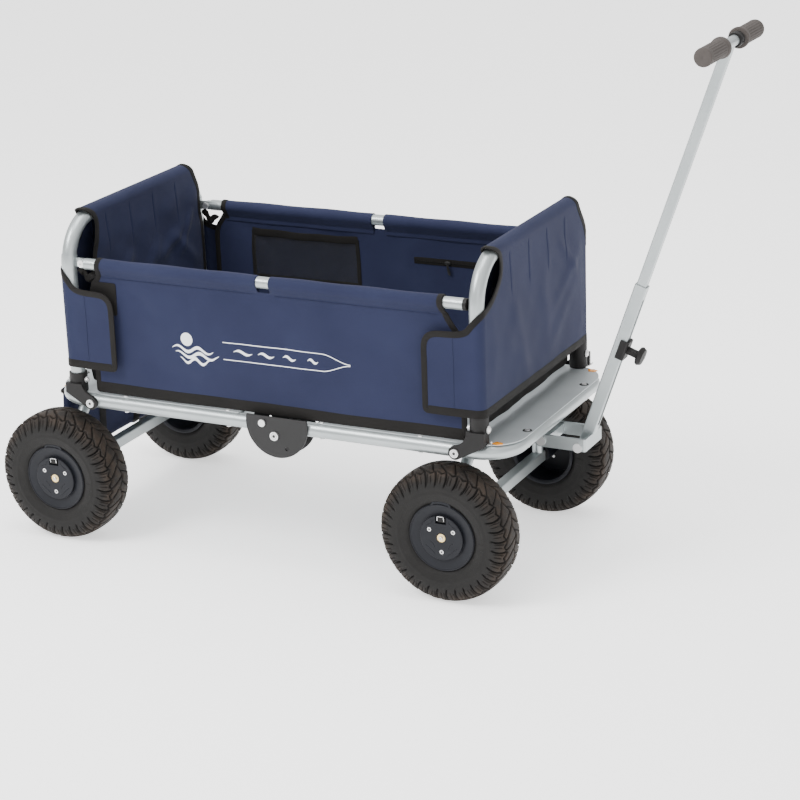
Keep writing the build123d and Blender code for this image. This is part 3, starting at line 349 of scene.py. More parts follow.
class Finish(Enum):
    """Every finish on the cart."""

    SILVER = Coating("silver_paint", (0.37, 0.40, 0.405), (0.31, 0.34, 0.345), 0.75, 0.36, 0.10, 0.0012, 0.00006,
                     coat=0.15)
    DECK = Coating("deck_sheet", (0.40, 0.43, 0.44), (0.33, 0.355, 0.365), 0.45, 0.50, 0.12, 0.002, 0.00004,
                   brushed=True)
    STEEL = Coating("bright_steel", (0.34, 0.33, 0.31), (0.20, 0.19, 0.18), 1.0, 0.26, 0.10, 0.0008, 0.00004)
    BRASS = Coating("brass", (0.36, 0.21, 0.065), (0.22, 0.13, 0.04), 1.0, 0.27, 0.10, 0.0008, 0.00004)
    PLASTIC = Coating("moulded_black", (0.0070, 0.0066, 0.0066), (0.012, 0.011, 0.011), 0.0, 0.50, 0.12, 0.0009,
                      0.00010, gloss=0.22)
    RIM = Coating("rim_black", (0.0062, 0.0068, 0.0095), (0.010, 0.011, 0.015), 0.0, 0.48, 0.10, 0.0010, 0.00008,
                  gloss=0.20)
    HINGE = Coating("hinge_coat", (0.0080, 0.0078, 0.0080), (0.013, 0.012, 0.013), 0.0, 0.44, 0.10, 0.0012,
                    0.00008, gloss=0.30)
    GRIP = Coating("grip_rubber", (0.0055, 0.0044, 0.0040), (0.010, 0.008, 0.007), 0.0, 0.70, 0.12, 0.0010,
                   0.00015, gloss=0.15)
    AMBER = Coating("amber_lens", (0.80, 0.30, 0.012), (0.62, 0.20, 0.006), 0.0, 0.25, 0.08, 0.0015, 0.00020,
                    coat=0.6)
    PRINT = Coating("white_print", (0.80, 0.81, 0.84), (0.66, 0.67, 0.72), 0.0, 0.55, 0.10, 0.0008, 0.00008)
    # Painted shade: near black laid in screw and bolt sockets, head grooves, the axle hole and rivet dimples.
    SOCKET = Coating("painted_recess_shade", (0.0035, 0.0035, 0.0035), (0.008, 0.008, 0.008), 0.0, 0.6, 0.10, 0.0010,
                     0.00006)
    NAVY = Weave("navy_cloth", (0.0120, 0.0150, 0.0400), (0.0185, 0.0225, 0.0540), 0.0009, 0.00012, 0.80, 0.04)
    BINDING = Weave("black_binding", (0.0050, 0.0045, 0.0043), (0.0110, 0.0098, 0.0090), 0.0016, 0.00025, 0.75,
                    0.03, ribbed=True)
    NET = Netting("pocket_net", (0.0045, 0.0045, 0.0055), 0.0036)
    TYRE = Tread()

    def material(self) -> bpy.types.Material:
        """The finish's material, built once."""
        return bpy.data.materials.get(self.value.name) or self.value.build()


# ---------------------------------------------------------------- meshes
def strip_faces(rows: int, columns: int, around: bool = False, ring: bool = False) -> np.ndarray:
    """Quads of a grid of points.

    Args:
        rows: points along the first direction.
        columns: points along the second direction.
        around: joins the last column to the first.
        ring: joins the last row to the first.

    Returns:
        Vertex numbers, four to a face.
    """
    i = np.arange(rows if ring else rows - 1)[:, None]
    j = np.arange(columns if around else columns - 1)[None, :]
    i2, j2 = (i + 1) % rows, (j + 1) % columns
    quads = [i * columns + j, i * columns + j2, i2 * columns + j2, i2 * columns + j]
    return np.stack([np.broadcast_to(q, (i.size, j.size)) for q in quads], -1).reshape(-1, 4)


def tube_faces(rings: int, sides: int, ring: bool = False) -> list:
    """Faces of a row of rings: the skin, and both ends unless the last ring meets the first."""
    faces = strip_faces(rings, sides, True, ring).tolist()
    if not ring:
        faces += [list(range(sides))[::-1], list(range((rings - 1) * sides, rings * sides))]
    return faces


class Part:
    """A new piece being made: points and faces that end as one Blender object."""

    def __init__(self, name: str) -> None:
        """Starts an empty piece."""
        self.name = name
        self.points: list = []
        self.faces: list = []
        self.flat: list = []
        self.count = 0

    def add(self, points: np.ndarray, faces: Sequence, flat: Optional[np.ndarray] = None) -> None:
        """Adds points in hinge-frame millimetres with their faces.

        Args:
            points: N by 3 places.
            faces: vertex numbers of this batch.
            flat: N by 2 flat coordinates in millimetres, for woven finishes.
        """
        points = np.asarray(points, float).reshape(-1, 3)
        self.points.append(points)
        self.faces += [tuple(int(k) + self.count for k in f) for f in faces]
        self.flat.append(points[:, :2] if flat is None else np.asarray(flat, float).reshape(-1, 2))
        self.count += len(points)

    def tube(self, path: np.ndarray, radius: object, up: Sequence = UP, sides: int = 12,
             flatness: float = 1.0, closed: bool = False) -> None:
        """Carries an ellipse along a path: path + r (cos a * side + flatness * sin a * normal).

        Args:
            path: points in millimetres.
            radius: one radius, or one at each point.
            up: the direction that the ellipse's short axis leans to.
            sides: points round the ellipse.
            flatness: short axis over long axis.
            closed: joins the path's end to its start.
        """
        path = np.asarray(path, float)
        ahead = headings(path, closed)
        side = unit(np.cross(ahead, np.asarray(up, float)))
        lift = np.cross(side, ahead)
        turn = circle(sides)
        r = np.broadcast_to(radius, len(path))[:, None, None]
        ring = path[:, None] + r * (np.cos(turn)[None, :, None] * side[:, None]
                                    + flatness * np.sin(turn)[None, :, None] * lift[:, None])
        run = distances(path)
        flat = np.stack(np.broadcast_arrays(run[:, None], (turn * np.mean(radius))[None, :]), -1)
        self.add(ring, tube_faces(len(path), sides, closed), flat)

    def hoop(self, centre: Sequence, up: Sequence, radius: float, wire: float, count: int, sides: int = 6,
             flatness: float = 1.0) -> None:
        """Lays a ring of wire round a centre, square to up.

        Args:
            centre: the ring's middle.
            up: the ring's axis, across the cart or upright.
            radius: from the middle to the wire.
            wire: the wire's own radius.
            count: points round the ring.
            sides: points round the wire.
            flatness: the wire's height over its width.
        """
        turn = circle(count)[:, None]
        round_it = np.cos(turn) * ALONG + np.sin(turn) * np.abs(np.cross(up, ALONG))
        self.tube(np.asarray(centre, float) + radius * round_it, wire, up, sides, flatness, closed=True)

    def lathe(self, profile: np.ndarray, origin: Sequence, axis: Sequence, sides: int = 48) -> None:
        """Turns a profile of (radius, distance along the axis) about an axis; both ends are closed.

        Args:
            profile: K by 2 millimetres, its first and last radius above zero.
            origin: a point on the axis.
            axis: the axis direction.
            sides: points round it.
        """
        axis = unit(np.asarray(axis, float))
        helper = np.array([0.0, 0.0, 1.0]) if abs(axis[2]) < 0.9 else np.array([1.0, 0.0, 0.0])
        e1 = unit(np.cross(axis, helper))
        e2 = np.cross(axis, e1)
        turn = circle(sides)[None, :, None]
        profile = np.asarray(profile, float)[:, None, None, :]
        around = np.cos(turn) * e1 + np.sin(turn) * e2
        ring = np.asarray(origin, float) + profile[..., 0] * around + profile[..., 1] * axis
        self.add(ring, tube_faces(len(profile), sides))

    def finish(self, body: str, finish: Finish, slot: str, solid: bool = True,
               crease: float = 35.0) -> bpy.types.Object:
        """Makes the object, gives it its finish and sets it on its body.

        Args:
            body: the CAD body that it rides on.
            finish: its finish.
            slot: the record's material slot; not used.
            solid: a closed shape, whose faces are turned outwards.
            crease: edges sharper than this many degrees stay sharp.

        Returns:
            The finished object.
        """
        mesh = bpy.data.meshes.new(self.name)
        mesh.from_pydata(to_row(np.concatenate(self.points)), [], self.faces)
        flat = np.concatenate(self.flat) * MM
        corners = np.zeros(len(mesh.loops), np.int32)
        mesh.loops.foreach_get("vertex_index", corners)
        mesh.uv_layers.new(name="flat").data.foreach_set("uv", flat[corners].astype(np.float32).ravel())
        if solid:
            work = bmesh.new()
            work.from_mesh(mesh)
            bmesh.ops.recalc_face_normals(work, faces=work.faces)
            work.to_mesh(mesh)
            work.free()
        mesh.shade_smooth()
        mesh.set_sharp_from_angle(angle=math.radians(crease))
        mesh.materials.append(finish.material())
        made = bpy.data.objects.new(self.name, mesh)
        bpy.context.scene.collection.objects.link(made)
        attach(made, body)
        log.info("%s: %d faces on %s", self.name, len(mesh.polygons), body)
        return made


def rounded(corners: Sequence, step: float = 3.0) -> np.ndarray:
    """A closed outline with rounded corners, each one the curve (1-k)^2 A + 2k(1-k) C + k^2 B.

    Args:
        corners: (s, t, radius) for each corner, anticlockwise.
        step: distance between the points that come back.

    Returns:
        N by 2 points, evenly spaced.
    """
    c = np.array([p[:2] for p in corners], float)
    r = np.array([p[2] for p in corners], float)
    before, after = np.roll(c, 1, 0) - c, np.roll(c, -1, 0) - c
    cut_b = np.minimum(r, np.linalg.norm(before, axis=1) * 0.48)[:, None]
    cut_a = np.minimum(r, np.linalg.norm(after, axis=1) * 0.48)[:, None]
    a, b = c + unit(before) * cut_b, c + unit(after) * cut_a
    k = np.linspace(0, 1, 9)[None, :, None]
    curve = ((1 - k) ** 2 * a[:, None] + 2 * k * (1 - k) * c[:, None] + k ** 2 * b[:, None]).reshape(-1, 2)
    loop = np.concatenate([curve, curve[:1]])
    run = distances(loop)
    at = np.linspace(0, run[-1], max(int(run[-1] / step), 8), endpoint=False)
    return np.stack([np.interp(at, run, loop[:, 0]), np.interp(at, run, loop[:, 1])], -1)


def inside(points: np.ndarray, outline: np.ndarray, margin: float) -> np.ndarray:
    """Which points are inside an outline and at least margin from it, by crossing count and distance."""
    a, b = outline, np.roll(outline, -1, 0)
    x, y = points[:, 0][:, None], points[:, 1][:, None]
    with np.errstate(divide="ignore", invalid="ignore"):
        cross = (a[:, 1] > y) != (b[:, 1] > y)
        cut = (b[:, 0] - a[:, 0]) * (y - a[:, 1]) / (b[:, 1] - a[:, 1]) + a[:, 0]
    within = (np.sum(cross & (x < cut), axis=1) % 2) == 1
    near = np.min((x - a[:, 0]) ** 2 + (y - a[:, 1]) ** 2, axis=1) < margin ** 2
    return within & ~near


@dataclass
class Fold:
    """A soft ridge or valley in cloth along a line of its flat pattern."""

    start: tuple
    end: tuple
    width: float
    height: float

    def rise(self, st: np.ndarray) -> np.ndarray:
        """height * exp(-(distance / width)^2), fading to nothing at both ends of the line."""
        a, b = np.array(self.start, float), np.array(self.end, float)
        d = b - a
        k = ((st - a) @ d) / (d @ d)
        off = st - a - np.clip(k, 0, 1)[:, None] * d
        fade = ease(k, -0.15, 0.25) * (1 - ease(k, 0.75, 1.15))
        return self.height * fade * np.exp(-(off ** 2).sum(1) / self.width ** 2)


def ripple(st: np.ndarray, size: float, seed: float) -> np.ndarray:
    """Broad unevenness of handled cloth, -1 to 1: a sum of crossing sines, each with its own direction."""
    total = np.zeros(len(st))
    for k, (turn, scale) in enumerate(((0.3, 1.0), (1.4, 0.71), (2.3, 0.53), (2.9, 0.37), (0.9, 0.29))):
        wave = (st[:, 0] * math.cos(turn + seed) + st[:, 1] * math.sin(turn + seed)) / (size * scale)
        total += (0.5 ** (0.5 * k)) * np.sin(2 * np.pi * wave + seed * (k + 1) * 1.7)
    return total / 2.6


TAPE_SECTION = np.array([(-0.16, 0.0), (-0.10, 0.75), (0.08, 1.0), (0.5, 0.92), (0.9, 0.85), (1.0, 0.45),
                         (1.0, -0.45), (0.9, -0.85), (0.5, -0.92), (0.08, -1.0), (-0.10, -0.75)])
TAPE_FOLD = 8.0
EDGE_STEP = 3.0


@dataclass
class Cloth:
    """A sheet of cloth: a flat pattern and the way that it is hung.

    hang(st) gives the place of flat points, and lift(st) how far the cloth stands off that place,
    along hang's own normal, outwards where positive.
    """

    name: str
    outline: np.ndarray
    hang: Callable[[np.ndarray], np.ndarray]
    lift: Callable[[np.ndarray], np.ndarray]
    columns: np.ndarray
    rows: np.ndarray
    outward: int = 1

    def normal(self, st: np.ndarray, place: Callable[[np.ndarray], np.ndarray]) -> np.ndarray:
        """Cross product of the two slopes, measured over half a millimetre."""
        d = 0.5
        ds, dt = np.array([d, 0.0]), np.array([0.0, d])
        return self.outward * unit(np.cross(place(st + ds) - place(st - ds), place(st + dt) - place(st - dt)))

    def lie(self, st: np.ndarray) -> np.ndarray:
        """Where the cloth's middle is: hang plus lift along the normal."""
        return self.hang(st) + self.lift(st)[:, None] * self.normal(st, self.hang)

    def above(self, st: np.ndarray, height: np.ndarray) -> np.ndarray:
        """Points that height off the cloth."""
        return self.lie(st) + np.asarray(height, float)[..., None] * self.normal(st, self.lie)

    def area(self) -> float:
        """The pattern's flat area in square metres."""
        return abs(signed_area(self.outline)) * MM ** 2

    def cut(self, outline: np.ndarray) -> tuple:
        """Triangles inside an outline, with the sheet's grid of points."""
        grid = np.stack(np.meshgrid(self.columns, self.rows), -1).reshape(-1, 2)
        points = np.concatenate([outline, grid[inside(grid, outline, 1.4)]])
        n = len(outline)
        loop = [(i, (i + 1) % n) for i in range(n)]
        made = delaunay_2d_cdt([Vector(p) for p in points], loop, [list(range(n))], 1, 1e-5)
        return np.array([tuple(v) for v in made[0]]), [f if self.outward > 0 else f[::-1] for f in made[2]]

    def sheet(self, body: str, finish: Finish, slot: str, thick: float = 1.2) -> bpy.types.Object:
        """The cloth itself, a thin closed shell."""
        st, faces = self.cut(self.outline)
        part = Part(self.name)
        part.add(self.lie(st), faces, st)
        made = part.finish(body, finish, slot, solid=False, crease=180)
        shell = made.modifiers.new("thickness", "SOLIDIFY")
        shell.thickness, shell.offset = thick * MM, 0.0
        return made

    def declare(self, made: bpy.types.Object, held: str, rests_on: Sequence, pieces: Sequence) -> None:
        """Works out the size and area that the cloth was cut to; nothing is done with them."""
        size = (self.outline.max(0) - self.outline.min(0)) * MM
        self.area()

    def edging(self, part: Part, path: np.ndarray, width: object, closed: bool = True,
               thick: float = 1.5) -> None:
        """Folds a tape over an edge: points a inwards and b off the cloth, round a flat loop.

        Args:
            part: the piece that it is added to.
            path: flat points along the edge, the cloth on their left.
            width: how far the tape reaches in, one value or one at each point.
            closed: the path is the whole outline.
            thick: half the tape's height where it is folded.
        """
        ahead = headings(path, closed)
        inward = np.stack([-ahead[:, 1], ahead[:, 0]], -1)
        w = np.broadcast_to(width, len(path))[:, None]
        a = TAPE_SECTION[:, 0] * np.where(TAPE_SECTION[:, 0] < 0, TAPE_FOLD, w)
        b = np.broadcast_to(TAPE_SECTION[:, 1] * thick, a.shape)
        st = path[:, None] + a[..., None] * inward[:, None]
        points = self.above(st.reshape(-1, 2), b.reshape(-1))
        run = np.arange(len(path))[:, None] * EDGE_STEP
        faces = tube_faces(len(path), len(TAPE_SECTION), closed)
        part.add(points, faces, np.stack(np.broadcast_arrays(run, a), -1))

    def patch(self, part: Part, outline: np.ndarray, height: float, thick: float) -> None:
        """Lays a thin closed slab of an outline on the cloth: top and bottom share the outline's edge.

        Args:
            part: the piece that it is added to.
            outline: flat points, anticlockwise.
            height: how far its underside is off the cloth.
            thick: its thickness.
        """
        st, faces = self.cut(outline)
        n = len(st)
        top, bottom = self.above(st, np.full(n, height + thick)), self.above(st, np.full(n, height))
        m = len(outline)
        rim = [(i, (i + 1) % m, n + (i + 1) % m, n + i) for i in range(m)]
        under = [[n + i for i in f[::-1]] for f in faces]
        part.add(np.concatenate([top, bottom]), list(faces) + under + rim, np.concatenate([st, st]))


# ---------------------------------------------------------------- wheels
TYRE_SIDE = np.array([(65.3, 34.0), (72.0, 38.6), (83.0, 41.6), (97.0, 42.4), (109.5, 40.9), (120.0, 36.3),
                      (126.4, 29.5), (128.9, 20.5), (129.8, 10.0), (130.0, 0.0)])
HUB_CURVES = ((208, 250, 35.5), (290, 332, 35.5), (200, 236, 24.0), (304, 340, 24.0), (36, 66, 36.5),
              (114, 144, 36.5))


@dataclass
class Wheel:
    """One balloon wheel: lugged tyre, the rim's moulded marks and the release spring."""

    corner: str
    axle_x: float
    side: int
    steps: int = 864
    lugs: int = 36
    groove_depth: float = 3.8
    groove_edge: float = 1.5
    crown: float = 130.0
    tread: float = 66.0
    shoulder: float = 31.0
    zigzag: float = 3.4
    middle_zigzag: float = 5.5
    slant: float = 0.030
    bead_r: float = 65.25
    bead_out: float = 34.0
    beyond: float = 200.0
    rim_lip_r: float = 63.0
    rim_face: float = 36.6
    hub_face: float = 39.0
    screw_circle: float = 27.5

    def on_wheel(self, points: np.ndarray) -> np.ndarray:
        """Wheel coordinates (forward, up, out from the wheel's middle) as hinge-frame places."""
        p = np.asarray(points, float)
        return np.stack([self.axle_x + p[..., 0], self.side * (WHEEL_Y + p[..., 2]), AXLE_Z + p[..., 1]], -1)

    def section(self) -> tuple:
        """The tyre's closed section.

        Returns:
            Radius, out-of-plane place and signed distance from the crown of each point, from the inner bead
    over the tread to the outer bead; the last points run back under the rim, their distance beyond all marks.
        """
        whole = np.concatenate([TYRE_SIDE * (1, -1), TYRE_SIDE[-2::-1]])
        run = distances(whole)
        middle = run[-1] / 2
        w = np.concatenate([np.linspace(-middle, -self.tread, 12, endpoint=False),
                            np.linspace(-self.tread, self.tread, 92), np.linspace(self.tread, middle, 13)[1:]])
        r, y = np.interp(w + middle, run, whole[:, 0]), np.interp(w + middle, run, whole[:, 1])
        for _ in range(3):
            r[1:-1] = (r[:-2] + r[1:-1] * 2 + r[2:]) / 4
            y[1:-1] = (y[:-2] + y[1:-1] * 2 + y[2:]) / 4
        back = np.linspace(self.bead_out, -self.bead_out, 6)[1:-1]
        return (np.append(r, np.full_like(back, self.bead_r)), np.append(y, back),
                np.append(w, np.full_like(back, self.beyond)))

    def grooves(self, turn: np.ndarray, w: np.ndarray) -> np.ndarray:
        """Groove depth, 0 to 1, at a turn round the axle and a distance w across the tread.

        A zigzag groove runs round each shoulder and one round the crown; slanted grooves part the crown's
        blocks, straight ones the shoulder's lugs, and two fine cuts mark each lug.
        """
        p = turn * self.lugs / (2 * np.pi)
        pitch = 2 * np.pi * self.crown / self.lugs
        far = np.abs(w)

        def cut(shift: np.ndarray, half: float) -> np.ndarray:
            """A groove across the tread, once a lug."""
            return pulse((((p + shift) % 1) - 0.5) * pitch, half, self.groove_edge)

        wall = self.shoulder + self.zigzag * (np.abs(((p + 0.1) % 1) * 4 - 2) - 1)
        middle = self.middle_zigzag * (np.abs(((p * 0.5 + 0.3) % 1) * 4 - 2) - 1)
        nearest = np.minimum(np.abs(far - wall), np.abs(w - middle))
        zigzags = pulse(nearest, 0.7, self.groove_edge)
        outer = w > middle
        lean = np.where(outer, self.slant, -self.slant) * (w - middle)
        blocks = (far < wall) * cut(lean + np.where(outer, 0.0, 0.5), 0.8)
        lug_zone = (far >= wall) * (1 - ease(far, 56, 64))
        lugs = lug_zone * cut(0.13 * np.sin((far - 31) / 9), 1.0)
        deep = np.maximum(np.maximum(zigzags, blocks), lugs)
        for shift in (0.32, 0.62):
            fine = 0.6 * lug_zone * (far > wall + 5) * (1 - ease(far, 50, 56)) * cut(shift, 0.15)
            deep = np.maximum(deep, fine)
        return deep * (1 - ease(far, 58, 66))

    def tyre(self) -> None:
        """P(turn, w) = section(w) turned about the axle, sunk by the grooves along the section's normal."""
        r, y, w = self.section()
        turn = circle(self.steps)
        deep = self.grooves(turn[:, None], w[None, :])
        slope_r, slope_y = np.gradient(r), np.gradient(y)
        length = np.hypot(slope_r, slope_y) + 1e-9
        out_r, out_y = slope_y / length, -slope_r / length
        far = np.abs(w)
        rings = 0.8 * pulse(far - 74, 0.8, 1.6) + 0.7 * pulse(far - 88, 0.6, 1.6)
        past_mark = (turn + 0.08 + np.pi) % (2 * np.pi) - np.pi
        mark = 0.9 * pulse(far - 81, 4.5, 1.6)[None, :] * pulse(past_mark[:, None] * 84, 6, 0.8)
        rise = rings[None, :] + mark - self.groove_depth * deep
        radius = r[None, :] + rise * out_r[None, :]
        out = y[None, :] + rise * out_y[None, :]
        c, s = np.cos(turn)[:, None], np.sin(turn)[:, None]
        ring = self.on_wheel(np.stack([radius * c, radius * s, out], -1))
        part = Part(f"tyre_cover_{self.corner}")
        part.add(ring, strip_faces(self.steps, len(r), True, True).tolist())
        made = part.finish(f"wheel_{self.corner}", Finish.TYRE, "tyre", crease=180)
        groove = np.broadcast_to(deep, radius.shape).ravel()
        band = np.broadcast_to(1 - ease(far, 34, 60), radius.shape).ravel()
        for name, value in (("groove", groove), ("band", band)):
            kept = made.data.attributes.new(name, "FLOAT", "POINT")
            kept.data.foreach_set("value", value.astype(np.float32))
        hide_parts(f"tyre_{self.corner}")

    def marks(self) -> None:
        """The bump on the rim's edge and the raised curves on the hub cover."""
        part = Part(f"rim_marks_{self.corner}")
        lean = np.linspace(-0.30, 0.30, 25)
        top = 63.9 + 4.2 * (1 - ease(np.abs(lean), 0.22, 0.30))
        out = np.full_like(lean, self.rim_face - 0.3)
        edge = np.stack([-np.sin(lean) * top, np.cos(lean) * top, out], -1)
        part.tube(self.on_wheel(edge), 2.6, up=ACROSS, sides=10, flatness=0.55)
        for start, end, r in HUB_CURVES:
            a = np.radians(np.linspace(start, end, 22))
            bow = r - 3.0 * np.sin(np.linspace(0, np.pi, 22))
            arc = np.stack([bow * np.cos(a), bow * np.sin(a), np.full_like(a, self.hub_face)], -1)
            part.tube(self.on_wheel(arc), 0.55, up=ACROSS, sides=8)
        part.hoop(self.on_wheel((0.0, 0.0, self.rim_face)), ACROSS, self.rim_lip_r, 1.3, 96, 8)
        part.finish(f"wheel_{self.corner}", Finish.RIM, "rim_plastic")

    def sockets(self) -> None:
        """Painted shade: a dark hexagon in each cover screw's socket, a dark ring in the groove round its head and a
        dark disc in the small hole in the axle's end.
        """
        part = Part(f"screw_socket_shade_{self.corner}")
        axis = (0, self.side, 0)
        for turn in (30, 150, 270):
            x = self.screw_circle * math.cos(math.radians(turn))
            z = self.screw_circle * math.sin(math.radians(turn))
            part.lathe([(2.1, 37.0), (2.1, 38.42), (1.9, 38.45)], self.on_wheel((x, z, 0.0)), axis, 6)
            part.hoop(self.on_wheel((x, z, self.hub_face - 0.4)), ACROSS, 4.6, 0.55, 24)
        part.lathe([(1.0, 41.5), (1.0, 42.12), (0.9, 42.15)], self.on_wheel((0.0, 0.0, 0.0)), axis, 16)
        part.finish(f"wheel_{self.corner}", Finish.SOCKET, "black_plastic")

    def spring(self) -> None:
        """The bright wire that holds the release tab, bent like a staple above it, and the axle's end cap."""
        leg = np.array([(6.5, 33.5, 39.4), (6.5, 38.0, 39.8), (6.3, 41.0, 39.8), (4.8, 41.8, 39.8)])
        part = Part(f"latch_spring_{self.corner}")
        part.tube(self.on_wheel(np.concatenate([leg * (-1, 1, 1), leg[::-1]])), 0.7, up=ACROSS, sides=8)
        cap = [(3.2, 39.2), (3.2, 41.0), (2.4, 41.8), (0.6, 42.0)]
        part.lathe(cap, self.on_wheel((0.0, 0.0, 0.0)), (0, self.side, 0), 24)
        part.finish(f"wheel_{self.corner}", Finish.STEEL, "bright_steel")

    def build(self) -> None:
        """Tyre, marks, the painted shade in the sockets, and spring."""
        self.tyre()
        self.marks()
        self.sockets()
        self.spring()


# ---------------------------------------------------------------- cloth sides
NET_BOX = (-308.0, -66.0, 424.0, 520.0)


def net_slack(st: np.ndarray) -> np.ndarray:
    """How far the pocket net hangs off the cloth: nothing extra at its foot, most at its mouth's middle."""
    left, right, foot, mouth = NET_BOX
    k = np.clip((st - (left, foot)) / (right - left, mouth - foot), 0, 1)
    full = 7.0 * np.sin(np.pi * k[:, 0]) * np.clip(k[:, 1] * 1.4, 0, 1) ** 0.8
    return 2.2 + full + 1.6 * np.sin(k[:, 0] * 17) * k[:, 1]


@dataclass
class SidePanel:
    """A fabric side hung on its top rail: hem, edging, and on the left side a net and a zipped pocket."""

    side: int
    rail_y: float = 236.0
    rail_z: float = 566.0
    hem_r: float = 12.4
    foot: float = 311.0
    rear: float = -398.0
    front: float = 388.0
    seam: float = 545.0
    stripe: float = 427.0
    zip_line: float = 490.0
    folds: list = field(default_factory=list)

    def __post_init__(self) -> None:
        """Works out the hem's section once: straight up, out round the rail and back to the seam."""
        circle = np.radians(np.linspace(-42, 222, 40))
        ring = np.stack([self.hem_r * np.cos(circle), self.rail_z + self.hem_r * np.sin(circle)], -1)
        path = np.concatenate([[(0.0, self.foot - 4), (0.4, self.seam - 12), (0.9, self.seam), (4.8, self.seam + 5)],
                               ring, [(-4.8, self.seam + 5), (-1.2, self.seam), (-1.3, self.seam - 9)]])
        self.section = path
        self.run = distances(path) + self.foot - 4
        self.name = "left" if self.side > 0 else "right"
        self.top = float(self.run[-1])

    def hang(self, st: np.ndarray) -> np.ndarray:
        """s is the place along the cart, t the distance along the section."""
        out = np.interp(st[:, 1], self.run, self.section[:, 0])
        up = np.interp(st[:, 1], self.run, self.section[:, 1])
        return np.stack([st[:, 0], self.side * (self.rail_y + out), up], -1)

    def lift(self, st: np.ndarray) -> np.ndarray:
        """Load bulge, long soft folds and unevenness, all dying away at the hem."""
        body = 1 - ease(st[:, 1], self.seam - 30, self.seam + 2)
        k = (st[:, 0] - self.rear) / (self.front - self.rear)
        ends = np.sin(np.pi * k)
        bulge = 5.0 * np.clip(ends, 0, 1) * np.sin(np.pi * np.clip((st[:, 1] - 290) / 260, 0, 1))
        low = 2.4 * np.sin((st[:, 0] + 60 * self.side) / 61.0) * np.clip(ends, 0, 1)
        low *= 1 - ease(st[:, 1], self.foot, 420)
        total = bulge + low + 1.4 * ripple(st, 190.0, 0.7 * self.side + 1.2) * np.clip(ends * 2, 0, 1)
        pucker = 0.5 * np.sin(st[:, 0] / 2.6) * np.exp(-((st[:, 1] - self.seam + 3) / 4.5) ** 2)
        hem = 0.5 * np.sin(st[:, 0] / 23.0 + self.side) * ease(st[:, 1], self.seam + 2, self.seam + 14)
        return body * (total + sum(f.rise(st) for f in self.folds)) + pucker + hem

    def cloth(self) -> Cloth:
        """The flat pattern: a long rectangle with cut corners and the mid-length notch."""
        top, seam = self.top, self.seam
        notch = seam + 3
        outline = rounded([(self.rear, self.foot, 6), (self.front, self.foot, 6), (self.front, 498, 20),
                           (352, notch, 22), (346, top, 1), (0, top, 1), (0, notch, 4), (-27, notch, 4),
                           (-27, top, 1), (-371, top, 1), (-376, notch, 14), (self.rear, 520, 24)], 3.5)
        columns = np.arange(self.rear + 3, self.front, 6.0)
        rows = np.concatenate([np.arange(self.foot + 4, seam - 14, 6.0), np.arange(seam - 14, top, 2.2)])
        return Cloth(f"side_cloth_{self.name}", outline, self.hang, self.lift, columns, rows, -self.side)

    def build(self) -> None:
        """Cloth, edging, seam tape, print and, on the left, the pockets."""
        mid = self.side
        self.folds = [Fold((-330, 540), (-250, 470), 16, 1.8 * mid), Fold((300, 540), (190, 450), 20, 2.2 * mid),
                      Fold((60, 545), (20, 430), 22, -1.8), Fold((-60, 540), (-120, 400), 26, 1.8),
                      Fold((-20, 400), (200, 340), 22, 1.6), Fold((-280, 380), (-120, 335), 20, -1.8),
                      Fold((230, 500), (330, 400), 18, 1.6), Fold((-180, 545), (-170, 450), 14, -1.2)]
        cloth = self.cloth()
        made = cloth.sheet("rear_half", Finish.NAVY, "navy_fabric")
        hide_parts(f"side_panel_{self.name}")
        tape = Part(f"side_edging_{self.name}")
        path = cloth.outline
        width = 10 + 11 * pulse(path[:, 1] - self.foot, 2, 6)
        bare = (path[:, 1] > self.top - 1.5) | ((np.abs(path[:, 0] + 13.5) < 16) & (path[:, 1] > self.seam - 2))
        order = np.roll(np.arange(len(path)), -int(np.argmax(bare)))
        for run in np.split(order, np.flatnonzero(np.diff(bare[order].astype(int))) + 1):
            if len(run) > 3 and not bare[run[0]]:
                cloth.edging(tape, path[run], width[run], closed=False)
        tape_made = tape.finish("rear_half", Finish.BINDING, "navy_fabric")
        seam = Part(f"side_hem_seam_{self.name}")
        for start, end in ((-362, -34), (8, 338)):
            line = level(np.arange(start, end, 4.0), self.seam - 3)
            seam.tube(cloth.above(line, np.full(len(line), 0.9)), 0.5, up=ACROSS, sides=6)
        seam_made = seam.finish("rear_half", Finish.NAVY, "navy_fabric")
        pieces = [tape_made, seam_made, self.print_on(cloth)]
        if self.side == LEFT:
            pieces += [self.net(cloth), self.net_band(cloth), self.zip_tape(cloth), self.zip_pull(cloth)]
        if self.side == RIGHT:
            pieces.append(self.hook_tape(cloth))
        cloth.declare(made, "hung", [f"side_rail_{self.name}"], pieces)

    def print_on(self, cloth: Cloth) -> bpy.types.Object:
        """A plain printed mark: a sun disc with three waves, and a long tapered stripe."""
        part = Part(f"side_print_{self.name}")
        sign = -self.side

        def lay(outline: np.ndarray) -> None:
            """Lays one shape of the mark on the cloth's outside, mirrored on the left side."""
            cloth.patch(part, (outline * (sign, 1))[::sign], 0.7, 0.25)

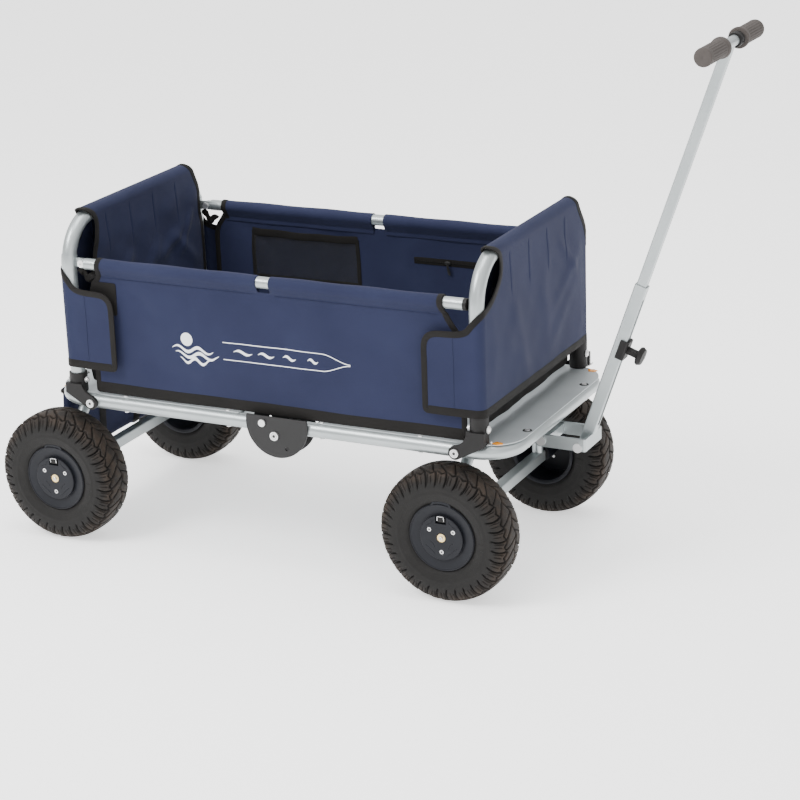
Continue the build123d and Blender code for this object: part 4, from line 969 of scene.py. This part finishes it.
        turn = circle(40)
        lay(np.stack([-186 + 13 * np.cos(turn), 440 + 13 * np.sin(turn)], -1))
        for row, (left, right, high) in enumerate(((-219, -128, 421), (-212, -116, 410), (-202, -134, 399))):
            s = np.linspace(left, right, 46)
            k = (s - left) / (right - left)
            lay(ribbon(s, high + 5.0 * np.sin(k * 4 * np.pi + 0.9 * row), 0.4 + 2.9 * np.sin(np.pi * k) ** 0.7))
        s = np.linspace(-106, 160, 90)
        k = (s + 106) / 266
        for way in (-1, 1):
            lay(ribbon(s, self.stripe + way * (15.5 * (1 - ease(k, 0.78, 1.0)) + 1.2), 0.75))
        for place in range(4):
            left = -84 + 52 * place
            s = np.linspace(left, left + 40 - 6 * place, 30)
            k = (s - s[0]) / (s[-1] - s[0])
            lay(ribbon(s, self.stripe + 3.2 * np.sin(k * 2 * np.pi), 0.3 + 2.6 * np.sin(np.pi * k)))
        return part.finish("rear_half", Finish.PRINT, "navy_fabric")

    def hook_tape(self, cloth: Cloth) -> bpy.types.Object:
        """The hook tape that shows above the rear flap."""
        part = Part("hook_tape_right")
        cloth.patch(part, rounded([(-392, 470, 3), (-338, 470, 3), (-338, 533, 5), (-392, 533, 5)], 3.0), 0.6, 1.6)
        return part.finish("rear_half", Finish.BINDING, "navy_fabric")

    def net(self, cloth: Cloth) -> bpy.types.Object:
        """The slack net pocket inside the left side."""
        part = Part("net_pocket_left")
        left, right, foot, mouth = NET_BOX
        outline = rounded([(left, foot, 6), (right, foot, 6), (right - 2, mouth, 2), (left + 2, mouth, 2)], 4.0)
        st, faces = cloth.cut(outline)
        part.add(cloth.above(st, -net_slack(st)), [f[::-1] for f in faces], st)
        return part.finish("rear_half", Finish.NET, "navy_fabric", solid=False, crease=180)

    def net_band(self, cloth: Cloth) -> bpy.types.Object:
        """The band along the net's mouth and the tapes down its sides and foot."""
        part = Part("net_band_left")
        left, right, foot, mouth = NET_BOX
        top = np.linspace(left, right, 70)
        slack = net_slack(level(top, mouth)) + 0.4
        part.tube(cloth.above(level(top, mouth - 1), -slack), 8.0, up=ACROSS, flatness=0.14)
        middle = (foot + mouth) / 2
        for line in (((left, foot), (left, middle), (left + 2, mouth)),
                     ((right, foot), (right, middle), (right - 2, mouth)),
                     ((left, foot), ((left + right) / 2, foot), (right, foot))):
            at = np.linspace(0, 2, 40)
            fine = np.stack([np.interp(at, (0, 1, 2), way) for way in np.transpose(line)], -1)
            part.tube(cloth.above(fine, np.full(40, -1.6)), 4.5, up=ACROSS, sides=10, flatness=0.22)
        return part.finish("rear_half", Finish.BINDING, "navy_fabric")

    def zip_tape(self, cloth: Cloth) -> bpy.types.Object:
        """The zip's tape with its row of teeth."""
        part = Part("zip_tape_left")
        line = level(np.linspace(60, 207, 60), self.zip_line)
        part.tube(cloth.above(line, np.full(60, -1.2)), 7.0, up=ACROSS, flatness=0.12)
        fine = np.linspace(64, 203, 420)
        teeth = cloth.above(level(fine, self.zip_line), np.full(420, -2.2))
        part.tube(teeth, 1.7 + 0.55 * np.sin(fine * 2.6), up=ACROSS, sides=8, flatness=0.5)
        return part.finish("rear_half", Finish.BINDING, "navy_fabric")

    def zip_pull(self, cloth: Cloth) -> bpy.types.Object:
        """The slider and its hanging tag."""
        part = Part("zip_pull_left")
        base = cloth.above(np.array([[134.0, self.zip_line]]), np.array([-3.6]))[0]
        body = np.linspace((-6, 0, 0), (6, 0, 0), 5)
        part.tube(base + body, np.array([2.2, 3.8, 4.2, 3.8, 2.2]), up=ACROSS, flatness=0.55)
        tag = np.array([(0, -3, 1), (1, -3.4, -4), (2, -3.4, -9), (3.5, -3, -15), (5, -2.6, -21), (5.6, -2.4, -24)])
        part.tube(base + tag, np.array([1.2, 2.0, 2.6, 3.2, 3.2, 1.6]), up=ACROSS, flatness=0.35)
        return part.finish("rear_half", Finish.HINGE, "black_plastic")


# ---------------------------------------------------------------- cloth ends
@dataclass
class EndPanel:
    """A fabric end: one cloth up the outside, over the bow and down inside, wrapped round the posts."""

    name: str
    body: str
    post_x: float
    sign: int
    outer_edges: dict
    inner_edges: dict
    folds: list
    half: float = 235.0
    wrap: float = 16.0
    bow_z: float = 643.0
    foot: float = 361.0
    inner_foot: float = 319.0
    flap: float = 102.0
    flap_top: float = 515.0

    def hang(self, st: np.ndarray) -> np.ndarray:
        """s runs round the posts in plan and t up the outside, round the bow's tube and down the inside."""
        s, t = st[:, 0], st[:, 1]
        far, side = np.abs(s), np.sign(s)
        bend = np.clip((far - self.half) / self.wrap, 0, np.pi / 2)
        past = np.maximum(far - self.half - self.wrap * np.pi / 2, 0)
        over = np.clip((t - self.bow_z) / self.wrap, 0, np.pi)
        drop = np.maximum(t - self.bow_z - self.wrap * np.pi, 0)
        x = np.where(t > self.bow_z, self.wrap * np.cos(over), self.wrap * np.cos(bend) - past)
        y = side * (np.minimum(far, self.half) + self.wrap * np.sin(bend))
        z = np.minimum(t, self.bow_z) + self.wrap * np.sin(over) - drop
        return np.stack([self.post_x + self.sign * x, y, z], -1)

    def lift(self, st: np.ndarray) -> np.ndarray:
        """Pleats below the sleeve, soft folds and unevenness; nothing where the tube pulls it tight."""
        s, t = st[:, 0], st[:, 1]
        down = np.where(t < self.bow_z, self.bow_z - t, np.maximum(t - self.bow_z - self.wrap * np.pi, 0))
        free = ease(down, 4, 60) * (1 - ease(np.abs(s), 195, 236))
        inner = ease(t, self.bow_z + 30, self.bow_z + 60)
        creases = sum(np.exp(-((s - at) / 1.3) ** 2) for at in PLEATS)
        swells = sum(np.exp(-((s - at - 6) / 5.0) ** 2) for at in PLEATS)
        pleat = -1.3 * (creases - 0.45 * swells) * ease(down, 2, 14) * (1 - ease(down, 70, 96))
        belly = (3.0 + 2.0 * inner) * np.sin(np.pi * np.clip(down / 300, 0, 1)) * free
        rough = (1.1 + 1.7 * inner) * ripple(st, 150.0, 2.1 + self.post_x / 500.0) * free
        flap = ease(np.abs(s), 268, 300) * (1.2 + 0.8 * ripple(st, 120.0, 4.0))
        return pleat + belly + rough + flap + sum(f.rise(st) for f in self.folds)

    def outline(self) -> np.ndarray:
        """The flat pattern, anticlockwise: outer foot, flap, scallop, over the bow, inner edge, and back."""
        top = self.bow_z + self.wrap * np.pi / 2
        inner_end = self.bow_z + self.wrap * np.pi + self.bow_z - self.inner_foot
        end = self.half + self.wrap * np.pi / 2 + self.flap

        def edge(side: int) -> list:
            """One side's corners, from its outer foot to its inner foot."""
            outer = [(end, self.foot, 12), (end, self.flap_top, 34), (280, self.flap_top + 3, 24)]
            outer += list(self.outer_edges[side])
            bow = [(198 if side < 0 else 190, top, 22)]
            inner = [(y, self.bow_z * 2 + self.wrap * np.pi - z, r) for y, z, r in self.inner_edges[side]]
            inner += [(205, inner_end, 8)]
            return [(side * s, t, r) for s, t, r in outer + bow + inner]

        left, right = edge(1), edge(-1)
        return rounded(left + right[::-1], 3.0)

    def build(self) -> None:
        """Cloth, edging and the flap seams."""
        outline = self.outline()
        outline = outline[::-1] if signed_area(outline) < 0 else outline
        span = np.concatenate([np.arange(0, 228, 5.5), np.arange(228, 268, 2.0), np.arange(268, 366, 5.5)])
        fine = np.concatenate([np.arange(at - 3.2, at + 3.3, 0.8) for at in PLEATS])
        plain = np.concatenate([-span[:0:-1], span])
        clear = np.min(np.abs(plain[:, None] - fine[None, :]), axis=1) > 1.0
        columns = np.sort(np.concatenate([plain[clear], fine]))
        rows = np.concatenate([np.arange(self.foot + 3, 636, 5.5), np.arange(636, 702, 2.4),
                               np.arange(702, 1012, 5.5)])
        cloth = Cloth(f"{self.name}_cloth", outline, self.hang, self.lift, columns, rows, self.sign)
        made = cloth.sheet(self.body, Finish.NAVY, "navy_fabric", 1.1)
        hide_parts(self.name)
        tape = Part(f"{self.name}_edging")
        high = outline[:, 1]
        width = 10.5 + 4 * pulse(high - self.foot, 2, 6) + 12 * pulse(high - high.max(), 2, 6)
        cloth.edging(tape, outline, width)
        tape_made = tape.finish(self.body, Finish.BINDING, "navy_fabric")
        seam = Part(f"{self.name}_seams")
        for side in (RIGHT, LEFT):
            t = np.arange(self.foot + 16, self.flap_top - 6, 3.0)
            line = np.stack([np.full_like(t, side * 300.0), t], -1)
            seam.tube(cloth.above(line, np.full(len(t), 0.75)), 0.45, up=ALONG, sides=6)
        seam_made = seam.finish(self.body, Finish.NAVY, "navy_fabric")
        cloth.declare(made, "hung", [self.name.replace("panel", "bow")], [tape_made, seam_made])


@dataclass
class StorageBag:
    """The slack flat bag behind the rear axle, with its two straps and top band."""

    rear: float = -543.0
    front: float = -508.5
    half: float = 169.0
    foot: float = 130.0
    top: float = 275.0
    strap_y: float = 64.0

    def skin(self, across: np.ndarray, up: np.ndarray, grow: float = 0.0) -> np.ndarray:
        """A rounded slab: section x^4 + y^4 = 1 round Z, squeezed at the mouth and full at the foot.

        Args:
            across: turn round the section.
            up: 0 at the foot, 1 at the mouth.
            grow: how far outside the cloth the points are.

        Returns:
            The places.
        """
        full = 0.32 + 0.68 * np.sin(np.pi * np.clip(0.16 + up * 0.66, 0, 1)) ** 0.8
        close = np.clip(np.sin(np.pi * np.clip(up * 6, 0, 0.5)), 0, 1) ** 0.5
        c, s = np.cos(across), np.sin(across)
        x = np.sign(c) * np.abs(c) ** 0.55 * ((self.front - self.rear) / 2 - 1.5) * full * close
        y = np.sign(s) * np.abs(s) ** 0.35 * (self.half - 2) * (0.965 + 0.035 * full) * (0.97 + 0.03 * close)
        z = self.foot + (self.top - self.foot) * up + 2.5 * np.cos(y / 54.0) * (1 - up)
        flat = np.stack([y, z], -1).reshape(-1, 2)
        dent = ripple(flat, 130.0, 1.3).reshape(np.shape(x)) * 2.6 * full * close * np.abs(c) ** 0.5
        x = x + np.sign(c) * dent * 0.5 + grow * np.sign(c) * (np.abs(c) > 0.2)
        return np.stack([(self.front + self.rear) / 2 + x, y + grow * np.sign(s) * (np.abs(c) < 0.2), z], -1)

    def build(self) -> None:
        """Bag, band and straps."""
        turn, up = np.meshgrid(circle(220), np.linspace(0, 1, 46))
        ring = self.skin(turn, up)
        part = Part("storage_bag_cloth")
        part.add(ring, tube_faces(*turn.shape), ring[..., 1:].reshape(-1, 2))
        made = part.finish("rear_half", Finish.NAVY, "navy_fabric", crease=60)
        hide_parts("storage_bag")
        straps = Part("storage_bag_straps")
        levels = np.linspace(0.0, 1, 40)
        turn_at = math.asin((self.strap_y / self.half) ** (1 / 0.35))
        for side in (-1, 1):
            for at in (side * turn_at, np.pi - side * turn_at):
                straps.tube(self.skin(np.full(40, at), levels, 1.0), 12.0, up=ALONG, flatness=0.09)
        band = self.skin(circle(160), np.full(160, 0.975), 0.6)
        straps.tube(band, 4.5, sides=10, flatness=0.9, closed=True)
        straps.finish("rear_half", Finish.BINDING, "navy_fabric")


# ---------------------------------------------------------------- handle and small trim
@dataclass
class HandleTrim:
    """Dimpled rubber grips and the clip ring on the crossbar."""

    grip_r: float = 16.5
    flange_r: float = 19.0
    bore_r: float = 9.8
    inner: float = 46.0
    flutes: int = 11
    slant: float = 0.62

    def __post_init__(self) -> None:
        """Reads the crossbar's line and the grips' ends from the frame."""
        low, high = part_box("handle_crossbar")
        middle = (low + high) / 2
        self.x, self.z = (middle.x - FOLD_X) / MM, middle.z / MM
        self.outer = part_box("handle_grips")[1].y / MM

    def grips(self) -> None:
        """r(turn, y) = profile(y) - dimples, the dimples being diamonds where two slanted waves cross."""
        part = Part("grip_covers")
        inner, outer = self.inner, self.outer
        y = np.concatenate([[inner], np.linspace(inner + 0.4, outer - 0.4, 150), [outer]])
        turn = circle(112)
        flange, grip = self.flange_r, self.grip_r
        stations = [inner, inner + 0.8, inner + 4, inner + 8.5, inner + 11, outer - 9, outer - 6, outer - 1.2,
                    outer]
        radii = [flange - 1.5, flange, flange, flange - 0.6, grip, grip, grip + 0.3, grip - 0.2, grip - 2.4]
        profile = np.interp(y, stations, radii)
        zone = ease(y, inner + 14, inner + 17) * (1 - ease(y, outer - 13, outer - 10))
        slanted = y[:, None] * self.slant
        fluted = turn[None, :] * self.flutes
        diamonds = ease(np.cos(fluted + slanted) * np.cos(fluted - slanted), 0.10, 0.55)
        lines = 0.7 * (pulse(y - inner - 12.6, 0.3, 0.6) + pulse(y - outer + 8.4, 0.3, 0.6))
        r = profile[:, None] - diamonds * zone[:, None] - lines[:, None]
        r = np.concatenate([np.full((1, len(turn)), self.bore_r), r, r[-1:] * 0.3, r[-1:] * 0.12])
        y = np.concatenate([[inner], y, [outer + 0.2, outer - 1.0]])
        across = np.broadcast_to(y[:, None], r.shape)
        for side in (RIGHT, LEFT):
            ring = np.stack([self.x + r * np.cos(turn), side * across, self.z + r * np.sin(turn)], -1)
            part.add(ring, tube_faces(*r.shape))
        made = part.finish("handle", Finish.GRIP, "grip_rubber", crease=60)
        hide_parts("handle_grips")

    def clip_ring(self) -> None:
        """The loose black ring on the crossbar, with a raised window."""
        part = Part("crossbar_ring")
        profile = [(9.9, 24.0), (12.6, 24.2), (13.4, 25.4), (13.4, 41.0), (12.6, 42.4), (9.9, 42.8)]
        part.lathe(profile, (self.x, 0, self.z), ACROSS)
        c, s = np.cos(circle(28)), np.sin(circle(28))
        window = np.stack([np.full(28, 13.3), 33.2 + 5.2 * np.sign(c) * np.abs(c) ** 0.4,
                           4.4 * np.sign(s) * np.abs(s) ** 0.4], -1)
        part.tube(window + (self.x, 0, self.z), 0.9, up=ALONG, sides=8, closed=True)
        part.finish("handle", Finish.PLASTIC, "black_plastic")

    def build(self) -> None:
        """Grips and ring."""
        self.grips()
        self.clip_ring()


BOX_FACES = [[0, 1, 3, 2], [4, 6, 7, 5], [0, 4, 5, 1], [2, 3, 7, 6], [0, 2, 6, 4], [1, 5, 7, 3]]


@dataclass
class DeckTrim:
    """Small trim of the deck and posts: amber patches, sleeve bolts, painted shade in the bolt sockets and rivet
    dimples, saddles and ties.
    """

    plate_top: float = 306.6
    post_y: float = 235.0
    post_face: float = 17.4
    front_bolt_z: float = 336.0
    rear_bolt_z: float = 331.0
    bend_r: float = 85.0
    bend_z: float = 558.0

    def ambers(self, name: str, body: str, corners: Sequence) -> None:
        """Small raised lenses of an outline given round each corner point."""
        part = Part(name)
        rings = ((1.0, 0.0), (1.0, 0.5), (0.9, 1.1), (0.5, 1.5))
        corner = np.array([(-10, -5), (2, -9), (12, -3), (9, 5), (-4, 7), (-10, -5)], float)
        at = np.linspace(0, 5, 30, endpoint=False)
        around = np.stack([np.interp(at, range(6), way) for way in corner.T], -1)
        for x, y, way in corners:
            outline = around * (1, way)
            ring = [np.insert(outline * k + (x, y), 2, self.plate_top + rise, 1) for k, rise in rings]
            part.add(np.stack(ring), tube_faces(len(rings), len(outline)))
        part.finish(body, Finish.AMBER, "deck_silver")

    def dome_bolt(self, part: Part, place: Sequence, axis: Sequence, r: float = 6.0) -> None:
        """A domed bolt head on its washer."""
        profile = [(r * 1.25, 0.0), (r * 1.25, 1.0), (r, 1.1), (r * 0.98, 2.2), (r * 0.8, 3.4), (r * 0.45, 4.2),
                   (r * 0.42, 3.4), (0.4, 3.3)]
        part.lathe(profile, place, axis, 28)

    def nut(self, part: Part, place: Sequence, axis: Sequence, r: float = 6.0) -> None:
        """A hexagon nut with a stub of thread."""
        part.lathe([(r * 1.2, 0.0), (r * 1.2, 0.9), (r, 1.0)], place, axis, 28)
        part.lathe([(r, 0.8), (r, 4.6), (r * 0.8, 5.2)], place, axis, 6)
        part.lathe([(r * 0.5, 5.0), (r * 0.5, 6.6), (r * 0.35, 7.0)], place, axis, 20)

    def build(self) -> None:
        """All the small trim."""
        self.ambers("amber_lenses_front", "front_half", [(440.0, -221.0, 1), (446.0, 220.0, -1)])
        self.ambers("amber_lenses_rear", "rear_half", [(-476.0, -216.0, 1), (-476.0, 216.0, -1)])
        front, rear = Part("sleeve_bolts_front"), Part("sleeve_bolts_rear")
        clip = np.array([(-4, -3, 310.5), (8, -1, 309.5), (19, 0, 309.2), (23, 2, 311.5), (25, 4, 315)])
        for side in (RIGHT, LEFT):
            y = side * self.post_y
            self.dome_bolt(front, (FRONT_POST + self.post_face, y, self.front_bolt_z), (1, 0, 0))
            self.nut(front, (FRONT_POST - self.post_face, y, self.front_bolt_z), (-1, 0, 0), 5.0)
            self.dome_bolt(rear, (REAR_POST - self.post_face, y, self.rear_bolt_z), (-1, 0, 0))
            self.nut(rear, (REAR_POST + self.post_face, y, self.rear_bolt_z), (1, 0, 0), 5.0)
            wire = clip * (1, side, 1) + (FRONT_POST, y, 0)
            front.tube(wire, 1.1, up=ACROSS, sides=8)
            front.tube(wire + (2, side * 4.0, 0.4), 1.1, up=ACROSS, sides=8)
        front.finish("front_half", Finish.STEEL, "bright_steel")
        rear.finish("rear_half", Finish.STEEL, "bright_steel")
        self.sockets()
        self.rivet_shade_rings()
        self.corner_tie()
        self.rail_saddles()

    def sockets(self) -> None:
        """Painted shade in the head of each frame bolt: a dark hexagon in its socket and a dark ring in its groove.
        """
        rear = ((-404.0, 291.0, "rear_frame_bolts"),)
        front = ((371.0, 291.0, "front_frame_bolts"), (0.0, 275.0, "fold_bolts"))
        for end, bolts in (("rear", rear), ("front", front)):
            part = Part(f"bolt_socket_shade_{end}")
            for x, z, node in bolts:
                low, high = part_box(node)
                for side, face in ((RIGHT, -low.y / MM), (LEFT, high.y / MM)):
                    head = (x, side * face, z)
                    part.lathe([(3.4, -1.0), (3.4, 0.08), (3.1, 0.12)], head, (0, side, 0), 6)
                    part.hoop(head, ACROSS, 5.6, 0.35, 36)
            part.finish(f"{end}_half", Finish.SOCKET, "black_plastic")

    def rivet_shade_rings(self) -> None:
        """Painted shade: a dark ring in the dimple round each rivet on the two platforms."""
        for end, x in (("front", 463.0), ("rear", -492.0)):
            part = Part(f"rivet_dimple_shade_{end}")
            for y in (-138.0, 138.0):
                part.hoop((x, y, self.plate_top - 0.1), UP, 7.0, 2.2, 40, 10, 0.18)
            part.finish(f"{end}_half", Finish.SOCKET, "black_plastic")

    def rail_saddles(self) -> None:
        """A snug sleeve on each rear post, bent as the bow bends, with the lug beside the rail's tongue."""
        part = Part("rail_saddles")
        turn = np.radians(np.linspace(-2.0, 15.0, 12))
        bend_y = self.post_y - self.bend_r
        lug_x, lug_y, lug_z = (-428.0, -402.6), (228.5, 233.4), (557.6, 574.4)
        for side in (RIGHT, LEFT):
            path = np.stack([np.full_like(turn, REAR_POST), side * (bend_y + self.bend_r * np.cos(turn)),
                             self.bend_z + self.bend_r * np.sin(turn)], -1)
            part.tube(path, 15.3, up=ALONG, sides=48)
            corners = [(x, side * y, z) for x in lug_x for y in lug_y for z in lug_z]
            part.add(np.array(corners), BOX_FACES)
        made = part.finish("rear_half", Finish.SILVER, "silver_tube")
        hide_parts("rail_clamps")

    def corner_tie(self) -> None:
        """The knotted tape that ties each side's rear corner to the bow."""
        part = Part("corner_ties_rear")
        for side in (-1, 1):
            k = np.linspace(0, 1, 26)
            path = np.stack([-420 + 30 * k, side * (231.5 - 3.0 * np.sin(np.pi * k)),
                             546 - 10 * k + 5 * np.sin(k * 9)], -1)
            part.tube(path, 7.0 + 1.6 * np.sin(k * 14), up=ACROSS, sides=14, flatness=0.42)
        part.finish("rear_half", Finish.BINDING, "navy_fabric")


# ---------------------------------------------------------------- the frame's own parts, light and camera
CAD_FINISH = (
    (("rim_", "hub_cap_"), Finish.RIM),
    (("hub_screws_", "lock_pin_", "kingpin", "yoke_pivot_bolt", "drawbar_foot_bolt", "fold_bolts"), Finish.STEEL),
    (("rear_frame_bolts", "front_frame_bolts", "rear_deck_rivets", "front_deck_rivets"), Finish.STEEL),
    (("wheel_latch_", "rail_end_plugs", "drawbar_clamp", "clamp_knob"), Finish.PLASTIC),
    (("front_bow_brackets", "rear_bow_brackets"), Finish.PLASTIC),
    (("rear_axle_pins", "front_axle_pins"), Finish.BRASS),
    (("rear_deck_plate", "front_deck_plate"), Finish.DECK),
    (("fold_cheeks",), Finish.HINGE),
    (("handle_grips",), Finish.GRIP),
    (("tyre_",), Finish.TYRE),
    (("side_panel", "front_panel", "rear_panel", "storage_bag"), Finish.NAVY),
)


def dress_frame() -> None:
    """Gives every CAD node its finish; anything not named is painted silver."""
    for name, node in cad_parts.items():
        found = [finish for starts, finish in CAD_FINISH if name.startswith(starts)]
        finish = found[0] if found else Finish.SILVER
        node.data.materials.clear()
        node.data.materials.append(finish.material())
        node.data.polygons.foreach_set("material_index", np.zeros(len(node.data.polygons), np.int32))


@dataclass
class Studio:
    """Pale floor, soft lights and the camera."""

    camera_at: tuple = (1.9541, -3.7882, 1.7480)
    look_at: tuple = (0.0413, 0.0, 0.2802)
    roll: float = -2.08
    lens: float = 104.8
    sky: float = 1.55
    floor_half: float = 30.0

    def floor(self) -> None:
        """A large, flat, pale floor that glows a little, so that it stays pale in the shade."""
        s = Shader("pale_floor", Roughness=0.9, Specular_IOR_Level=0.1, Emission_Strength=0.95,
                   Emission_Color=(1.0, 1.0, 1.0))
        s.put(Base_Color=s.mix(s.noise(0.6), (0.90, 0.90, 0.90), (0.92, 0.92, 0.92)))
        mesh = bpy.data.meshes.new("floor")
        far = self.floor_half
        mesh.from_pydata([(-far, -far, 0), (far, -far, 0), (far, far, 0), (-far, far, 0)], [], [(0, 1, 2, 3)])
        mesh.materials.append(s.material)
        made = bpy.data.objects.new("floor", mesh)
        bpy.context.scene.collection.objects.link(made)

    def light(self, name: str, place: tuple, aim: tuple, size: float, power: float) -> None:
        """One square soft box."""
        lamp = bpy.data.lights.new(name, "AREA")
        lamp.shape, lamp.size, lamp.energy = "SQUARE", size, power
        made = bpy.data.objects.new(name, lamp)
        made.location = place
        made.rotation_euler = (Vector(aim) - Vector(place)).to_track_quat("-Z", "Y").to_euler()
        bpy.context.scene.collection.objects.link(made)

    def build(self) -> None:
        """Floor, sky, lights and camera."""
        self.floor()
        world = bpy.data.worlds.new("studio")
        bpy.context.scene.world = world
        world.use_nodes = True
        tree = world.node_tree
        sky = tree.nodes["Background"]
        sky.inputs["Strength"].default_value = self.sky
        place, split = tree.nodes.new("ShaderNodeTexCoord"), tree.nodes.new("ShaderNodeSeparateXYZ")
        ramp = tree.nodes.new("ShaderNodeMapRange")
        for key, value in enumerate((-0.1, 0.7, 0.45, 1.15), start=1):
            ramp.inputs[key].default_value = value
        tree.links.new(place.outputs["Generated"], split.inputs[0])
        tree.links.new(split.outputs[2], ramp.inputs[0])
        tree.links.new(ramp.outputs[0], sky.inputs["Color"])
        self.light("key", (-1.6, -2.4, 3.3), (0.0, 0.0, 0.3), 1.6, 135.0)
        self.light("side", (2.4, -3.0, 1.6), (0.1, 0.0, 0.4), 1.6, 14.0)
        self.light("top", (0.1, -0.2, 3.8), (-0.1, 0.0, 0.3), 2.0, 70.0)
        lens = bpy.data.cameras.new("camera")
        lens.lens, lens.sensor_width = self.lens, 36.0
        eye = bpy.data.objects.new("camera", lens)
        bpy.context.scene.collection.objects.link(eye)
        back = (Vector(self.camera_at) - Vector(self.look_at)).normalized()
        right = Vector((0, 0, 1)).cross(back).normalized()
        up = back.cross(right)
        c, s = math.cos(math.radians(self.roll)), math.sin(math.radians(self.roll))
        x, y = right * c + up * s, up * c - right * s
        turn = Matrix((x, y, back)).transposed().to_4x4()
        eye.matrix_world = Matrix.Translation(Vector(self.camera_at)) @ turn
        bpy.context.scene.camera = eye


# Folds, pleats and scallops of the end panels, in flat millimetres; a scallop's corner is (s, height, radius).
REAR_FOLDS = [
    Fold((-150, 860), (-40, 800), 14, 6.8), Fold((-60, 900), (60, 800), 16, 7.6),
    Fold((40, 840), (150, 790), 13, 6.0), Fold((170, 900), (60, 980), 15, 6.8),
    Fold((-170, 800), (-100, 830), 12, 5.1), Fold((10, 860), (40, 960), 14, -5.1),
    Fold((100, 800), (190, 880), 13, 6.0), Fold((-120, 980), (20, 920), 16, 6.0),
    Fold((185, 770), (120, 850), 11, 5.1), Fold((-100, 560), (60, 470), 22, 3.1),
    Fold((120, 590), (40, 460), 20, 2.7)]
FRONT_FOLDS = [
    Fold((200, 560), (60, 470), 16, 3.0), Fold((190, 520), (40, 400), 20, 2.7),
    Fold((-120, 540), (-60, 400), 20, 2.4), Fold((100, 600), (180, 520), 12, 2.4),
    Fold((-160, 480), (-40, 380), 18, 2.1), Fold((20, 560), (40, 420), 22, 2.1),
    Fold((-100, 860), (60, 800), 16, 4.5), Fold((60, 900), (150, 820), 16, 4.5)]
PLEATS = (-125.0, -40.0, 45.0, 130.0)
DEEP = [(268, 534, 18), (250, 553, 14), (222, 562, 16), (178, 592, 22), (163, 614, 14), (168, 640, 14)]
SHALLOW = [(262, 540, 12), (250, 560, 12), (232, 602, 16), (208, 634, 18)]
INNER_DEEP = [(176, 650, 14), (158, 628, 16), (164, 606, 16), (180, 565, 20), (200, 500, 24), (212, 440, 20),
              (212, 360, 10)]
INNER_SHALLOW = [(204, 648, 10), (224, 606, 14), (223, 556, 10), (232, 532, 14), (232, 366, 12), (212, 354, 8)]


def main() -> None:
    """Builds the looks in order and reports each piece."""
    logging.basicConfig(level=logging.INFO, format="%(name)s: %(message)s")
    Studio().build()
    dress_frame()
    for corner, axle, side in (("rear_left", REAR_AXLE, LEFT), ("rear_right", REAR_AXLE, RIGHT),
                               ("front_left", FRONT_AXLE, LEFT), ("front_right", FRONT_AXLE, RIGHT)):
        Wheel(corner, axle, side).build()
    for side in (LEFT, RIGHT):
        SidePanel(side).build()
    outer, inner = {RIGHT: DEEP, LEFT: SHALLOW}, {RIGHT: INNER_DEEP, LEFT: INNER_SHALLOW}
    EndPanel("front_panel", "front_half", FRONT_POST, 1, outer, inner, FRONT_FOLDS).build()
    EndPanel("rear_panel", "rear_half", REAR_POST, -1, outer, inner, REAR_FOLDS).build()
    StorageBag().build()
    HandleTrim().build()
    DeckTrim().build()


if __name__ == "__main__":
    main()
